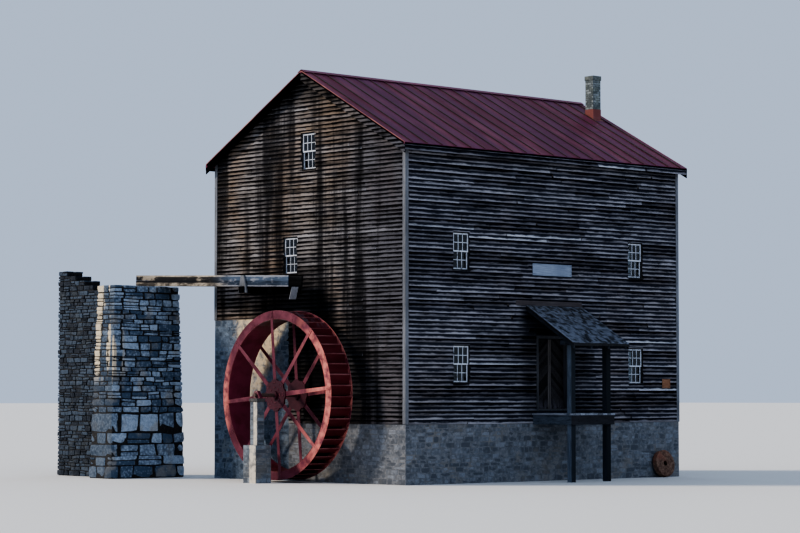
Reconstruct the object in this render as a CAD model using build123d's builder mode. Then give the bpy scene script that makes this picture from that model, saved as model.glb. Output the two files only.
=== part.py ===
from build123d import *
import os
from math import asin, atan, cos, degrees, radians, sin, tan

# Timber watermill with an overshot steel wheel on its gable, a flume from a dry-laid
# stone pier, and a covered loading deck. Millimetres, +Z up. The origin is on the floor,
# under the middle of the wheel gable's foundation, on that wall's centre line.
# +X is the side with the loading deck, and the wheel turns in front of the -Y gable.

os.makedirs("parts", exist_ok=True)

# Driving dimensions of the mill
building_width = 9144
building_length = 12192
foundation_height = 1800
masonry_thickness = 600
wall_height = 8360
wall_thickness = 200
stone_storey_height = 5080
stone_storey_width = 3750

# Roof
roof_pitch = 28.4
roof_thickness = 110
eave_overhang = 225
rake_overhang = 230
seam_spacing = 600
seam_width = 18
seam_height = 28
ridge_cap_reach = 160
ridge_cap_thickness = 6
rake_board_depth = 200
rake_board_thickness = 30
eave_board_depth = 90
corner_board_width = 110
corner_board_thickness = 22

# Floors, as heights above the foundation
first_floor_level = 430
second_floor_level = 3750
attic_floor_level = 7050
plank_thickness = 50
floor_beam_depth = 280
floor_beam_width = 220
floor_beam_count = 5

# Windows, with their sills as heights above the foundation
window_width = 710
window_height = 1170
lower_sill = 1220
upper_sill = 4640
attic_sill = 7860
window_inset_near = 2300
window_inset_far = 2090
gable_window_offset = -760
attic_window_offset = 100
window_frame_face = 35
window_frame_depth = 130
window_recess = 20
sash_face = 42
sash_thickness = 40
pane_thickness = 4
sill_projection = 28
sill_ear = 35

# Doorway and its pair of leaves
doorway_centre = 6240
doorway_width = 1260
doorway_height = 2200
jamb_face = 45
threshold_height = 60
threshold_projection = 40
casing_width = 95
casing_thickness = 22
leaf_thickness = 45
leaf_gap = 7
meeting_gap = 16
leaf_floor_gap = 10
hinge_pin_radius = 9
hinge_pin_inset = 20
hinge_clearance = 0.3
hinge_eye_wall = 8
hinge_eye_height = 60
hinge_heights = (300, 1750)
strap_width = 50
strap_thickness = 8
strap_length = 420
ledge_height = 140
ledge_thickness = 25
ledge_levels = (120, 1010, 1900)
meeting_strip_width = 65
meeting_strip_thickness = 10

# Covered loading deck
porch_centre = 6310
deck_width = 2020
deck_depth = 1670
deck_level = 310
deck_plank = 60
deck_beam_depth = 290
deck_beam_thickness = 80
post_size = 190
post_spacing = 1580
porch_roof_width = 2500
porch_roof_reach = 2050
porch_roof_top = 3650
porch_roof_drop = 1210
porch_roof_thickness = 55
porch_rafter_depth = 110
porch_rafter_width = 60
porch_rafter_count = 4
porch_plate_depth = 150

# Bare boards on the long wall
sign_length = 1750
sign_height = 370
sign_centre = 6210
sign_level = 4780
notice_length = 390
notice_height = 300
notice_centre = 11550
notice_level = 1245
board_thickness = 28

# Chimney
chimney_size = 370
chimney_offset = 1150
chimney_inset = 12
chimney_over_ridge = 898
chimney_cap_height = 150
chimney_cap_projection = 20
chimney_roof_gap = 12
flashing_upstand = 150
flashing_thickness = 5
flashing_apron = 110

# Water wheel
wheel_radius = 2600
wheel_width = 850
wheel_wall_gap = 350
axle_height = 2665
axle_radius = 55
shroud_depth = 260
shroud_thickness = 12
shroud_edge = 28
shroud_joint = 3
arm_count = 8
arm_start_angle = 5
arm_thickness = 16
arm_root_width = 150
arm_tip_width = 105
hub_radius = 495
hub_waist_radius = 450
hub_lobe_width = 150
hub_plate = 20
hub_boss_radius = 135
hub_boss_length = 190
hub_inner_radius = 210
sole_thickness = 12
bucket_count = 48
bucket_thickness = 6
bucket_sweep = 6.5
bucket_elbow = 0.42
axle_fit = 0.3
steel_fit = 0.3

# Bearings
outboard_reach = 730
bearing_width = 390
bearing_length = 120
bearing_base = 100
bearing_foot = 35
bearing_head = 130
bearing_head_width = 110
bearing_bore_clearance = 0.3
pedestal_width = 330
pedestal_depth = 280
pedestal_footing = 600
pedestal_footing_height = 1150
pedestal_cap_height = 100
pedestal_cap_overhang = 25
wall_bearing_plate = 420
wall_bearing_thickness = 36
wall_bearing_boss = 110
wall_bearing_boss_length = 90
axle_hole = 260
axle_tail = 160

# Flume
flume_width = 590
flume_plank = 50
flume_side_height = 345
flume_start = 2880
flume_past_axle = 415
flume_end_bottom = 5985
flume_fall = 290
bearer_size = 200
bearer_reach = 130
bearer_places = (-1760, -330)
knee_place = -1760
knee_head_width = 150
knee_foot_width = 440
knee_thickness = 60
end_board_width = 260
end_board_height = 380
end_board_thickness = 30
end_board_swing = 130

# Stone pier and the wing wall beside it
pier_gap = 1320
pier_width = 1300
pier_front_reach = 3140
pier_rear_inset = 150
pier_batter = 340
wing_length = 3000
wing_thickness = 700
wing_setback = 850
wing_low_end = 4150
wing_high_end = 5010
wing_step_count = 6

# Millstone that leans on the long foundation
millstone_radius = 435
millstone_thickness = 180
millstone_eye = 85
millstone_lean = 12
millstone_centre = 11240

# Places that follow from the sizes above
front_y = -masonry_thickness / 2
rear_y = front_y + building_length
porch_x = building_width / 2
pier_x = -building_width / 2
inner_front_y = front_y + wall_thickness
inner_rear_y = rear_y - wall_thickness
inner_x = porch_x - wall_thickness
wall_top = foundation_height + wall_height
stone_right_x = pier_x + stone_storey_width
slope = tan(radians(roof_pitch))
roof_rise = roof_thickness / cos(radians(roof_pitch))
seam_rise = seam_height / cos(radians(roof_pitch))
eave_x = porch_x + eave_overhang
roof_front_y = front_y - rake_overhang
roof_rear_y = rear_y + rake_overhang
first_floor_top = foundation_height + first_floor_level
second_floor_top = foundation_height + second_floor_level
attic_floor_top = foundation_height + attic_floor_level


def roof_underside(x):
    """Height of the underside of the roof over a place across the mill."""
    return wall_top + (porch_x - abs(x)) * slope


chimney_top = roof_underside(0) + chimney_over_ridge


def outline(*points):
    """A closed flat outline through the given points, as a face of the current sketch."""
    Polygon(*points, align=None)


# Masonry

with BuildPart() as stone_storey_wall:
    with BuildSketch():
        with Locations((pier_x, front_y)):
            Rectangle(stone_storey_width, masonry_thickness, align=Align.MIN)
    extrude(amount=stone_storey_height)

with BuildPart() as foundation_wheel_side:
    with BuildSketch():
        with Locations((stone_right_x, front_y)):
            Rectangle(building_width - stone_storey_width, masonry_thickness, align=Align.MIN)
    extrude(amount=foundation_height)

with BuildPart() as foundation_rear:
    with BuildSketch():
        with Locations((pier_x, rear_y - masonry_thickness)):
            Rectangle(building_width, masonry_thickness, align=Align.MIN)
    extrude(amount=foundation_height)


def side_foundation(outer_x, inward):
    """A long foundation wall between the two gable foundations."""
    with BuildPart() as wall:
        with BuildSketch():
            with Locations((outer_x + inward * masonry_thickness / 2, (front_y + rear_y) / 2)):
                Rectangle(masonry_thickness, building_length - 2 * masonry_thickness)
        extrude(amount=foundation_height)
    return wall


foundation_porch_side = side_foundation(porch_x, -1)
foundation_pier_side = side_foundation(pier_x, 1)

# Timber walls. Window places are pairs: centre along the wall, sill height.

near_window_y = front_y + window_inset_near
far_window_y = rear_y - window_inset_far
lower_sill_z = foundation_height + lower_sill
upper_sill_z = foundation_height + upper_sill
attic_sill_z = foundation_height + attic_sill
door_y = front_y + doorway_centre
door_top = first_floor_top + doorway_height
wheel_side_windows = ((gable_window_offset, upper_sill_z), (attic_window_offset, attic_sill_z))
rear_windows = (
    (-building_width / 4, lower_sill_z),
    (building_width / 4, lower_sill_z),
    (-building_width / 4, upper_sill_z),
    (building_width / 4, upper_sill_z),
    (-attic_window_offset, attic_sill_z),
)
near_side_windows = ((near_window_y, lower_sill_z), (near_window_y, upper_sill_z))
far_side_windows = ((far_window_y, lower_sill_z), (far_window_y, upper_sill_z))
side_windows = near_side_windows + far_side_windows


def window_holes(places):
    """Cuts a window hole at each place out of the current sketch."""
    for along, sill in places:
        with Locations((along, sill + window_height / 2)):
            Rectangle(window_width, window_height, mode=Mode.SUBTRACT)


def gable_outline():
    """The whole gable, from the foundation to the underside of the roof."""
    outline(
        (pier_x, foundation_height),
        (porch_x, foundation_height),
        (porch_x, wall_top),
        (0, roof_underside(0)),
        (pier_x, wall_top),
    )


with BuildPart() as wheel_gable_wall:
    with BuildSketch(Plane.XZ.offset(-inner_front_y)):
        gable_outline()
        with Locations((pier_x, 0)):
            Rectangle(stone_storey_width, stone_storey_height, align=Align.MIN, mode=Mode.SUBTRACT)
        window_holes(wheel_side_windows)
        with Locations((0, axle_height)):
            Rectangle(axle_hole, axle_hole, mode=Mode.SUBTRACT)
    extrude(amount=wall_thickness)

with BuildPart() as rear_gable_wall:
    with BuildSketch(Plane.XZ.offset(-rear_y)):
        gable_outline()
        window_holes(rear_windows)
    extrude(amount=wall_thickness)


def long_wall_panel(outer_x, inward, y_low, y_high, z_low, places=()):
    """A panel of a long wall from a given height up to the underside of the roof."""
    inner = outer_x + inward * wall_thickness
    with BuildPart() as panel:
        with BuildSketch(Plane.XZ.offset(-y_low)):
            outline(
                (outer_x, z_low),
                (inner, z_low),
                (inner, roof_underside(inner)),
                (outer_x, wall_top),
            )
        extrude(amount=y_low - y_high)
        if places:
            with BuildSketch(Plane.YZ.offset(min(outer_x, inner))):
                for along, sill in places:
                    with Locations((along, sill + window_height / 2)):
                        Rectangle(window_width, window_height)
            extrude(amount=wall_thickness, mode=Mode.SUBTRACT)
    return panel


door_near_y = door_y - doorway_width / 2
door_far_y = door_y + doorway_width / 2
wall_near_y = door_near_y - jamb_face
wall_far_y = door_far_y + jamb_face
door_head_z = door_top + jamb_face
threshold_z = first_floor_top - threshold_height

porch_wall_near = long_wall_panel(
    porch_x, -1, inner_front_y, wall_near_y, foundation_height, near_side_windows
)
porch_wall_far = long_wall_panel(
    porch_x, -1, wall_far_y, inner_rear_y, foundation_height, far_side_windows
)
porch_wall_over_door = long_wall_panel(porch_x, -1, wall_near_y, wall_far_y, door_head_z)

with BuildPart() as porch_wall_under_door:
    with BuildSketch(Plane.XY.offset(foundation_height)):
        with Locations((inner_x, wall_near_y)):
            Rectangle(wall_thickness, wall_far_y - wall_near_y, align=Align.MIN)
    extrude(amount=threshold_z - foundation_height)

with BuildPart() as pier_side_wall:
    add(long_wall_panel(pier_x, 1, inner_front_y, inner_rear_y, foundation_height, side_windows))
    add(stone_storey_wall, mode=Mode.SUBTRACT)

# Corner boards: an upright pair at each corner, lapped over the ends of the siding.


def corner_board(corner_x, corner_y, outward_x, outward_y, foot):
    """One L-shaped pair of boards round a corner of the mill."""
    with BuildPart() as boards:
        with BuildSketch(Plane.XY.offset(foot)):
            outline(
                (corner_x, corner_y),
                (corner_x - outward_x * corner_board_width, corner_y),
                (
                    corner_x - outward_x * corner_board_width,
                    corner_y + outward_y * corner_board_thickness,
                ),
                (
                    corner_x + outward_x * corner_board_thickness,
                    corner_y + outward_y * corner_board_thickness,
                ),
                (
                    corner_x + outward_x * corner_board_thickness,
                    corner_y - outward_y * corner_board_width,
                ),
                (corner_x, corner_y - outward_y * corner_board_width),
            )
        extrude(amount=roof_underside(porch_x + corner_board_thickness) - foot)
    return boards


with BuildPart() as corner_boards:
    add(corner_board(porch_x, front_y, 1, -1, foundation_height))
    add(corner_board(porch_x, rear_y, 1, 1, foundation_height))
    add(corner_board(pier_x, rear_y, -1, 1, foundation_height))
    add(corner_board(pier_x, front_y, -1, -1, stone_storey_height))

# Floors of planks on heavy cross beams


def plank_floor(top, beam_depth):
    """A plank floor with its beams, from wall to wall."""
    room_length = inner_rear_y - inner_front_y
    middle_y = (inner_front_y + inner_rear_y) / 2
    with BuildPart() as storey_floor:
        with BuildSketch(Plane.XY.offset(top - plank_thickness)):
            with Locations((0, middle_y)):
                Rectangle(2 * inner_x, room_length)
        extrude(amount=plank_thickness)
        with BuildSketch(Plane.XY.offset(top - plank_thickness)):
            with Locations((0, middle_y)):
                with GridLocations(0, room_length / floor_beam_count, 1, floor_beam_count):
                    Rectangle(2 * inner_x, floor_beam_width)
        extrude(amount=-beam_depth)
    return storey_floor


with BuildPart() as first_floor:
    add(plank_floor(first_floor_top, first_floor_level - plank_thickness))
    add(stone_storey_wall, mode=Mode.SUBTRACT)

second_floor = plank_floor(second_floor_top, floor_beam_depth)
attic_floor = plank_floor(attic_floor_top, floor_beam_depth)

# Roof: a boarded slope each side, covered in standing-seam metal

roof_length = roof_rear_y - roof_front_y
seam_count = int((roof_length - seam_width) // seam_spacing)
seam_middle_y = (roof_front_y + roof_rear_y) / 2
chimney_y = inner_rear_y - chimney_inset - chimney_size / 2


def roof_band(side, bottom, top):
    """Outline of a band that lies along one slope, between two heights above its underside."""
    outline(
        (0, roof_underside(0) + bottom),
        (side * eave_x, roof_underside(eave_x) + bottom),
        (side * eave_x, roof_underside(eave_x) + top),
        (0, roof_underside(0) + top),
    )


def roof_slope(side):
    """One slope of the roof with its standing seams."""
    with BuildPart() as roof_side:
        with BuildSketch(Plane.XZ.offset(-roof_front_y)):
            roof_band(side, 0, roof_rise)
        extrude(amount=-roof_length)
        first_seam = seam_middle_y - (seam_count - 1) / 2 * seam_spacing
        for number in range(seam_count):
            seam_y = first_seam + number * seam_spacing - seam_width / 2
            with BuildSketch(Plane.XZ.offset(-seam_y)):
                roof_band(side, roof_rise, roof_rise + seam_rise)
            extrude(amount=-seam_width)
    return roof_side


with BuildPart() as roof_porch_side:
    add(roof_slope(1))
    with BuildSketch(Plane.XY.offset(attic_floor_top)):
        with Locations((chimney_offset, chimney_y)):
            Rectangle(chimney_size + 2 * chimney_roof_gap, chimney_size + 2 * chimney_roof_gap)
    extrude(amount=chimney_top, mode=Mode.SUBTRACT)

roof_pier_side = roof_slope(-1)

with BuildPart() as ridge_cap:
    cap_base = roof_underside(0) + roof_rise + seam_rise
    cap_drop = ridge_cap_reach * slope
    with BuildSketch(Plane.XZ.offset(-roof_front_y)):
        outline(
            (-ridge_cap_reach, cap_base - cap_drop),
            (0, cap_base),
            (ridge_cap_reach, cap_base - cap_drop),
            (ridge_cap_reach, cap_base - cap_drop + ridge_cap_thickness),
            (0, cap_base + ridge_cap_thickness),
            (-ridge_cap_reach, cap_base - cap_drop + ridge_cap_thickness),
        )
    extrude(amount=-roof_length)

with BuildPart() as roof_boards:
    for board_y in (roof_front_y, roof_rear_y - rake_board_thickness):
        for side in (-1, 1):
            with BuildSketch(Plane.XZ.offset(-board_y)):
                roof_band(side, -rake_board_depth, 0)
            extrude(amount=-rake_board_thickness)
    for side in (-1, 1):
        with BuildSketch(Plane.XZ.offset(-(roof_front_y + rake_board_thickness))):
            board_inner_x = eave_x - rake_board_thickness
            outline(
                (side * board_inner_x, roof_underside(board_inner_x)),
                (side * eave_x, roof_underside(eave_x)),
                (side * eave_x, roof_underside(eave_x) - eave_board_depth),
                (side * board_inner_x, roof_underside(eave_x) - eave_board_depth),
            )
        extrude(amount=2 * rake_board_thickness - roof_length)

# Chimney, from the attic floor up through the roof, with its metal flashing

with BuildPart() as chimney:
    with BuildSketch(Plane.XY.offset(attic_floor_top)):
        with Locations((chimney_offset, chimney_y)):
            Rectangle(chimney_size, chimney_size)
    extrude(amount=chimney_top - attic_floor_top)
    with BuildSketch(Plane.XY.offset(chimney_top - chimney_cap_height)):
        with Locations((chimney_offset, chimney_y)):
            cap_size = chimney_size + 2 * chimney_cap_projection
            Rectangle(cap_size, cap_size)
    extrude(amount=chimney_cap_height)
    flue_size = chimney_size / 2
    with BuildSketch(Plane.XY.offset(chimney_top)):
        with Locations((chimney_offset, chimney_y)):
            Rectangle(flue_size, flue_size)
    extrude(amount=attic_floor_top + chimney_size - chimney_top, mode=Mode.SUBTRACT)

with BuildPart() as chimney_flashing:
    uphill_x = chimney_offset - chimney_size / 2
    collar_height = flashing_upstand + chimney_size * slope
    collar_top = roof_underside(uphill_x) + roof_rise + flashing_upstand
    collar_size = chimney_size + 2 * flashing_thickness
    apron_size = chimney_size + 2 * flashing_apron
    with BuildSketch(Plane.XZ.offset(-(chimney_y - apron_size / 2))):
        apron_low_x = chimney_offset - apron_size / 2
        apron_high_x = chimney_offset + apron_size / 2
        outline(
            (apron_low_x, roof_underside(apron_low_x) + roof_rise),
            (apron_high_x, roof_underside(apron_high_x) + roof_rise),
            (apron_high_x, roof_underside(apron_high_x) + roof_rise + flashing_thickness),
            (apron_low_x, roof_underside(apron_low_x) + roof_rise + flashing_thickness),
        )
    extrude(amount=-apron_size)
    with BuildSketch(Plane.XY.offset(collar_top)):
        with Locations((chimney_offset, chimney_y)):
            Rectangle(collar_size, collar_size)
    extrude(amount=-collar_height)
    add(roof_porch_side, mode=Mode.SUBTRACT)
    with BuildSketch(Plane.XY.offset(attic_floor_top)):
        with Locations((chimney_offset, chimney_y)):
            Rectangle(chimney_size, chimney_size)
    extrude(amount=chimney_top - attic_floor_top, mode=Mode.SUBTRACT)

# Windows. Each wall has a plane on its outer face, with x along the wall and z outwards.

porch_face = Plane(origin=(porch_x, 0, 0), x_dir=(0, 1, 0), z_dir=(1, 0, 0))
pier_face = Plane(origin=(pier_x, 0, 0), x_dir=(0, -1, 0), z_dir=(-1, 0, 0))
wheel_face = Plane(origin=(0, front_y, 0), x_dir=(1, 0, 0), z_dir=(0, -1, 0))
rear_face = Plane(origin=(0, rear_y, 0), x_dir=(-1, 0, 0), z_dir=(0, 1, 0))
light_width = window_width - 2 * window_frame_face
light_height = window_height - 2 * window_frame_face
sash_height = (light_height + sash_face) / 2
upper_sash_depth = window_recess + sash_thickness / 2
lower_sash_depth = upper_sash_depth + sash_thickness


def local_places(face, places):
    """Window centres and sills in the plane of their wall."""
    direction = face.x_dir.X + face.x_dir.Y
    return [(along * direction, sill) for along, sill in places]


def sash_places(sill):
    """Centre height and depth of the upper and the lower sash."""
    lower = sill + window_frame_face + sash_height / 2
    upper = sill + window_height - window_frame_face - sash_height / 2
    return ((upper, upper_sash_depth), (lower, lower_sash_depth))


def window_units(face, places):
    """Frames with their sills and two sashes, one unit in each window hole of a wall."""
    with BuildPart() as units:
        for along, sill in local_places(face, places):
            with BuildSketch(face.offset(-window_recess)):
                with Locations((along, sill + window_height / 2)):
                    Rectangle(window_width, window_height)
                    Rectangle(light_width, light_height, mode=Mode.SUBTRACT)
            extrude(amount=-window_frame_depth)
            with BuildSketch(face.offset(-window_recess)):
                with Locations((along, sill + window_frame_face / 2)):
                    Rectangle(window_width, window_frame_face)
            extrude(amount=window_recess)
            with BuildSketch(face):
                with Locations((along, sill + window_frame_face / 2)):
                    Rectangle(window_width + 2 * sill_ear, window_frame_face)
            extrude(amount=sill_projection)
            for height, depth in sash_places(sill):
                with BuildSketch(face.offset(-depth)):
                    with Locations((along, height)):
                        Rectangle(light_width, sash_height)
                        Rectangle(
                            light_width - 2 * sash_face,
                            sash_height - 2 * sash_face,
                            mode=Mode.SUBTRACT,
                        )
                extrude(amount=-sash_thickness)
    return units


windows_porch_side = window_units(porch_face, side_windows)
windows_pier_side = window_units(pier_face, side_windows)
windows_wheel_side = window_units(wheel_face, wheel_side_windows)
windows_rear = window_units(rear_face, rear_windows)

with BuildPart() as window_panes:
    pane_inset = (sash_thickness - pane_thickness) / 2
    for face, places in (
        (porch_face, side_windows),
        (pier_face, side_windows),
        (wheel_face, wheel_side_windows),
        (rear_face, rear_windows),
    ):
        for along, sill in local_places(face, places):
            for height, depth in sash_places(sill):
                with BuildSketch(face.offset(-depth - pane_inset)):
                    with Locations((along, height)):
                        Rectangle(light_width - 2 * sash_face, sash_height - 2 * sash_face)
                extrude(amount=-pane_thickness)

# Doorway: frame with its pintles, and two ledged leaves that open inwards

pin_x = inner_x - hinge_pin_inset
eye_radius = hinge_pin_radius + hinge_clearance + hinge_eye_wall
pintle_height = hinge_eye_height / 2
leaf_foot_z = first_floor_top + leaf_floor_gap
leaf_height = doorway_height - leaf_floor_gap - leaf_gap
leaf_width = (doorway_width - 2 * leaf_gap - meeting_gap) / 2

with BuildPart() as door_frame:
    frame_height = door_head_z - threshold_z
    with BuildSketch(Plane.YZ.offset(inner_x)):
        with Locations((door_y, threshold_z + frame_height / 2)):
            Rectangle(doorway_width + 2 * jamb_face, frame_height)
        with Locations((door_y, first_floor_top + doorway_height / 2)):
            Rectangle(doorway_width, doorway_height, mode=Mode.SUBTRACT)
    extrude(amount=wall_thickness)
    with BuildSketch(Plane.YZ.offset(porch_x)):
        with Locations((door_y, threshold_z)):
            Rectangle(
                doorway_width + 2 * casing_width,
                frame_height + casing_width - jamb_face,
                align=(Align.CENTER, Align.MIN),
            )
        with Locations((door_y, threshold_z)):
            Rectangle(
                doorway_width,
                threshold_height + doorway_height,
                align=(Align.CENTER, Align.MIN),
                mode=Mode.SUBTRACT,
            )
    extrude(amount=casing_thickness)
    with BuildSketch(Plane.YZ.offset(porch_x)):
        with Locations((door_y, threshold_z)):
            Rectangle(doorway_width, threshold_height, align=(Align.CENTER, Align.MIN))
    extrude(amount=threshold_projection)
    for edge_y, outward in ((door_near_y, -1), (door_far_y, 1)):
        for height in hinge_heights:
            foot_z = leaf_foot_z + height
            with BuildSketch(Plane.XY.offset(foot_z)):
                with Locations((pin_x, edge_y)):
                    Circle(hinge_pin_radius)
            extrude(amount=hinge_eye_height)
            with BuildSketch(Plane.XY.offset(foot_z)):
                with Locations((pin_x, edge_y)):
                    Circle(hinge_pin_radius)
                with Locations((inner_x - hinge_pin_inset / 2, edge_y + outward * jamb_face / 2)):
                    Rectangle(hinge_pin_inset, jamb_face)
                with Locations((pin_x, edge_y + outward * jamb_face / 2)):
                    Rectangle(2 * hinge_pin_radius, jamb_face)
            extrude(amount=-pintle_height)


def door_leaf(hinge_y, direction):
    """A leaf of boards on ledges, hung on two strap hinges from one jamb."""
    near_y = hinge_y + direction * leaf_gap
    far_y = near_y + direction * leaf_width
    with BuildPart() as leaf:
        with BuildSketch(Plane.XY.offset(leaf_foot_z)):
            with Locations((inner_x + leaf_thickness / 2, (near_y + far_y) / 2)):
                Rectangle(leaf_thickness, leaf_width)
        extrude(amount=leaf_height)
        strip_y = far_y - direction * meeting_strip_width / 2
        strip_x = inner_x + leaf_thickness + meeting_strip_thickness / 2
        with BuildSketch(Plane.XY.offset(leaf_foot_z)):
            with Locations((strip_x, strip_y)):
                Rectangle(meeting_strip_thickness, meeting_strip_width)
        extrude(amount=leaf_height)
        ledge_length = leaf_width - 2 * strap_width
        for level in ledge_levels:
            with BuildSketch(Plane.XY.offset(leaf_foot_z + level)):
                with Locations((inner_x - ledge_thickness / 2, (near_y + far_y) / 2)):
                    Rectangle(ledge_thickness, ledge_length)
            extrude(amount=ledge_height)
        strap_end_y = hinge_y + direction * strap_length
        for height in hinge_heights:
            eye_z = leaf_foot_z + height + hinge_clearance
            with BuildSketch(Plane.XY.offset(eye_z)):
                with Locations((inner_x - strap_thickness / 2, (hinge_y + strap_end_y) / 2)):
                    Rectangle(strap_thickness, strap_length)
                with Locations((pin_x, hinge_y)):
                    Circle(eye_radius)
                    Circle(hinge_pin_radius + hinge_clearance, mode=Mode.SUBTRACT)
            extrude(amount=strap_width)
    return leaf


door_leaf_near = door_leaf(door_near_y, 1)
door_leaf_far = door_leaf(door_far_y, -1)

# Covered loading deck

porch_y = front_y + porch_centre
deck_top = foundation_height + deck_level
deck_bottom = deck_top - deck_plank
deck_edge_x = porch_x + deck_depth
post_x = deck_edge_x - deck_beam_thickness - post_size / 2
post_near_y = porch_y - post_spacing / 2
post_far_y = porch_y + post_spacing / 2
deck_frame_width = post_spacing + post_size + 2 * deck_beam_thickness
porch_slope = porch_roof_drop / porch_roof_reach
porch_incline = atan(porch_slope)
porch_roof_rise = porch_roof_thickness / cos(porch_incline)
porch_rafter_rise = porch_rafter_depth / cos(porch_incline)
plate_outer_x = post_x + post_size / 2


def porch_underside(x):
    """Height of the underside of the deck roof's boards at a place out from the wall."""
    return foundation_height + porch_roof_top - porch_roof_rise - (x - porch_x) * porch_slope


plate_seat = porch_rafter_rise / 4
plate_top = porch_underside(plate_outer_x) - porch_rafter_rise + plate_seat
plate_bottom = plate_top - porch_plate_depth

with BuildPart() as porch_roof:
    porch_eave_x = porch_x + porch_roof_reach
    with BuildSketch(Plane.XZ.offset(-(porch_y - porch_roof_width / 2))):
        outline(
            (porch_x, porch_underside(porch_x)),
            (porch_eave_x, porch_underside(porch_eave_x)),
            (porch_eave_x, porch_underside(porch_eave_x) + porch_roof_rise),
            (porch_x, porch_underside(porch_x) + porch_roof_rise),
        )
    extrude(amount=-porch_roof_width)

with BuildPart() as porch_plate:
    with BuildSketch(Plane.XY.offset(plate_bottom)):
        with Locations((post_x, porch_y)):
            Rectangle(post_size, porch_roof_width - 2 * porch_rafter_width)
    extrude(amount=porch_plate_depth)

with BuildPart() as porch_rafters:
    rafter_end_x = porch_eave_x - porch_rafter_width
    rafter_spread = porch_roof_width - 3 * porch_rafter_width
    for number in range(porch_rafter_count):
        along = (number / (porch_rafter_count - 1) - 0.5) * rafter_spread
        with BuildSketch(Plane.XZ.offset(-(porch_y + along - porch_rafter_width / 2))):
            outline(
                (porch_x, porch_underside(porch_x)),
                (rafter_end_x, porch_underside(rafter_end_x)),
                (rafter_end_x, porch_underside(rafter_end_x) - porch_rafter_rise),
                (porch_x, porch_underside(porch_x) - porch_rafter_rise),
            )
        extrude(amount=-porch_rafter_width)
    add(porch_plate, mode=Mode.SUBTRACT)


def porch_post(middle_y):
    """A square post, from the ground through the deck to the plate."""
    with BuildPart() as post:
        with BuildSketch():
            with Locations((post_x, middle_y)):
                Rectangle(post_size, post_size)
        extrude(amount=plate_bottom)
    return post


porch_post_near = porch_post(post_near_y)
porch_post_far = porch_post(post_far_y)

with BuildPart() as deck_frame:
    frame_middle_x = porch_x + deck_depth / 2
    with BuildSketch(Plane.XY.offset(deck_bottom)):
        with Locations((frame_middle_x, porch_y)):
            Rectangle(deck_depth, deck_frame_width)
            Rectangle(
                deck_depth - 2 * deck_beam_thickness,
                deck_frame_width - 2 * deck_beam_thickness,
                mode=Mode.SUBTRACT,
            )
    extrude(amount=-deck_beam_depth)

with BuildPart() as deck_planks:
    with BuildSketch(Plane.XY.offset(deck_bottom)):
        with Locations((frame_middle_x, porch_y)):
            Rectangle(deck_depth, deck_width)
    extrude(amount=deck_plank)
    add(porch_post_near, mode=Mode.SUBTRACT)
    add(porch_post_far, mode=Mode.SUBTRACT)

with BuildPart() as wall_signs:
    for middle, level, length, height in (
        (sign_centre, sign_level, sign_length, sign_height),
        (notice_centre, notice_level, notice_length, notice_height),
    ):
        with BuildSketch(porch_face):
            with Locations((front_y + middle, foundation_height + level)):
                Rectangle(length, height)
        extrude(amount=board_thickness)

# Water wheel. Its plane faces -Y, with its origin on the axle at the front shroud.

wheel_rear_y = front_y - wheel_wall_gap
wheel_front_y = wheel_rear_y - wheel_width
axle_line = Axis((0, wheel_front_y, axle_height), (0, 1, 0))
wheel_plane = Plane(origin=(0, wheel_front_y, axle_height), x_dir=(1, 0, 0), z_dir=(0, -1, 0))
rim_inner_radius = wheel_radius - shroud_depth
outboard_y = wheel_front_y - outboard_reach
bucket_inner_radius = rim_inner_radius + 2 * shroud_thickness
bucket_outer_radius = wheel_radius - 2 * shroud_thickness


def round_axle(piece, count):
    """Copies of a piece turned round the axle in equal steps."""
    return [piece.part.rotate(axle_line, number * 360 / count) for number in range(count)]


def shroud(outer_face_y, inward):
    """A rim of eight curved plates, bolted end to end."""
    segment_sweep = 360 / arm_count - degrees(shroud_joint / wheel_radius)
    inner_face_y = outer_face_y + inward * shroud_thickness
    with BuildPart() as segment:
        with BuildSketch(Plane.YZ):
            outline(
                (outer_face_y, axle_height + rim_inner_radius),
                (inner_face_y, axle_height + rim_inner_radius),
                (inner_face_y, axle_height + wheel_radius),
                (outer_face_y, axle_height + wheel_radius),
            )
        revolve(axis=axle_line, revolution_arc=segment_sweep)
    with BuildPart() as rim:
        add([piece.rotate(axle_line, rim_turn) for piece in round_axle(segment, arm_count)])
    return rim


# Segment joints fall midway between the arms.
rim_turn = 90 - arm_start_angle - 180 / arm_count
shroud_front = shroud(wheel_front_y, 1)
shroud_rear = shroud(wheel_rear_y, -1)


def arms(outer_face):
    """Eight tapered flat bars from the hub to the outer edge of a rim."""
    with BuildPart() as spokes:
        with BuildSketch(outer_face):
            with PolarLocations(0, arm_count, start_angle=arm_start_angle):
                Polygon(
                    (hub_inner_radius, -arm_root_width / 2),
                    (wheel_radius - shroud_edge, -arm_tip_width / 2),
                    (wheel_radius - shroud_edge, arm_tip_width / 2),
                    (hub_inner_radius, arm_root_width / 2),
                    align=None,
                )
        extrude(amount=arm_thickness)
    return spokes


wheel_arms_front = arms(wheel_plane)
wheel_arms_rear = arms(wheel_plane.offset(-wheel_width - arm_thickness))


def hub_outline():
    """A disc with a flat-ended lobe for every arm and a waist between each two."""
    lobe = degrees(asin(hub_lobe_width / 2 / hub_radius))
    waist = 180 / arm_count
    corners = []
    for number in range(arm_count):
        arm = arm_start_angle + number * 360 / arm_count
        for turn, radius in ((-lobe, hub_radius), (lobe, hub_radius), (waist, hub_waist_radius)):
            angle = radians(arm + turn)
            corners.append((radius * cos(angle), radius * sin(angle)))
    outline(*corners)


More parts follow.
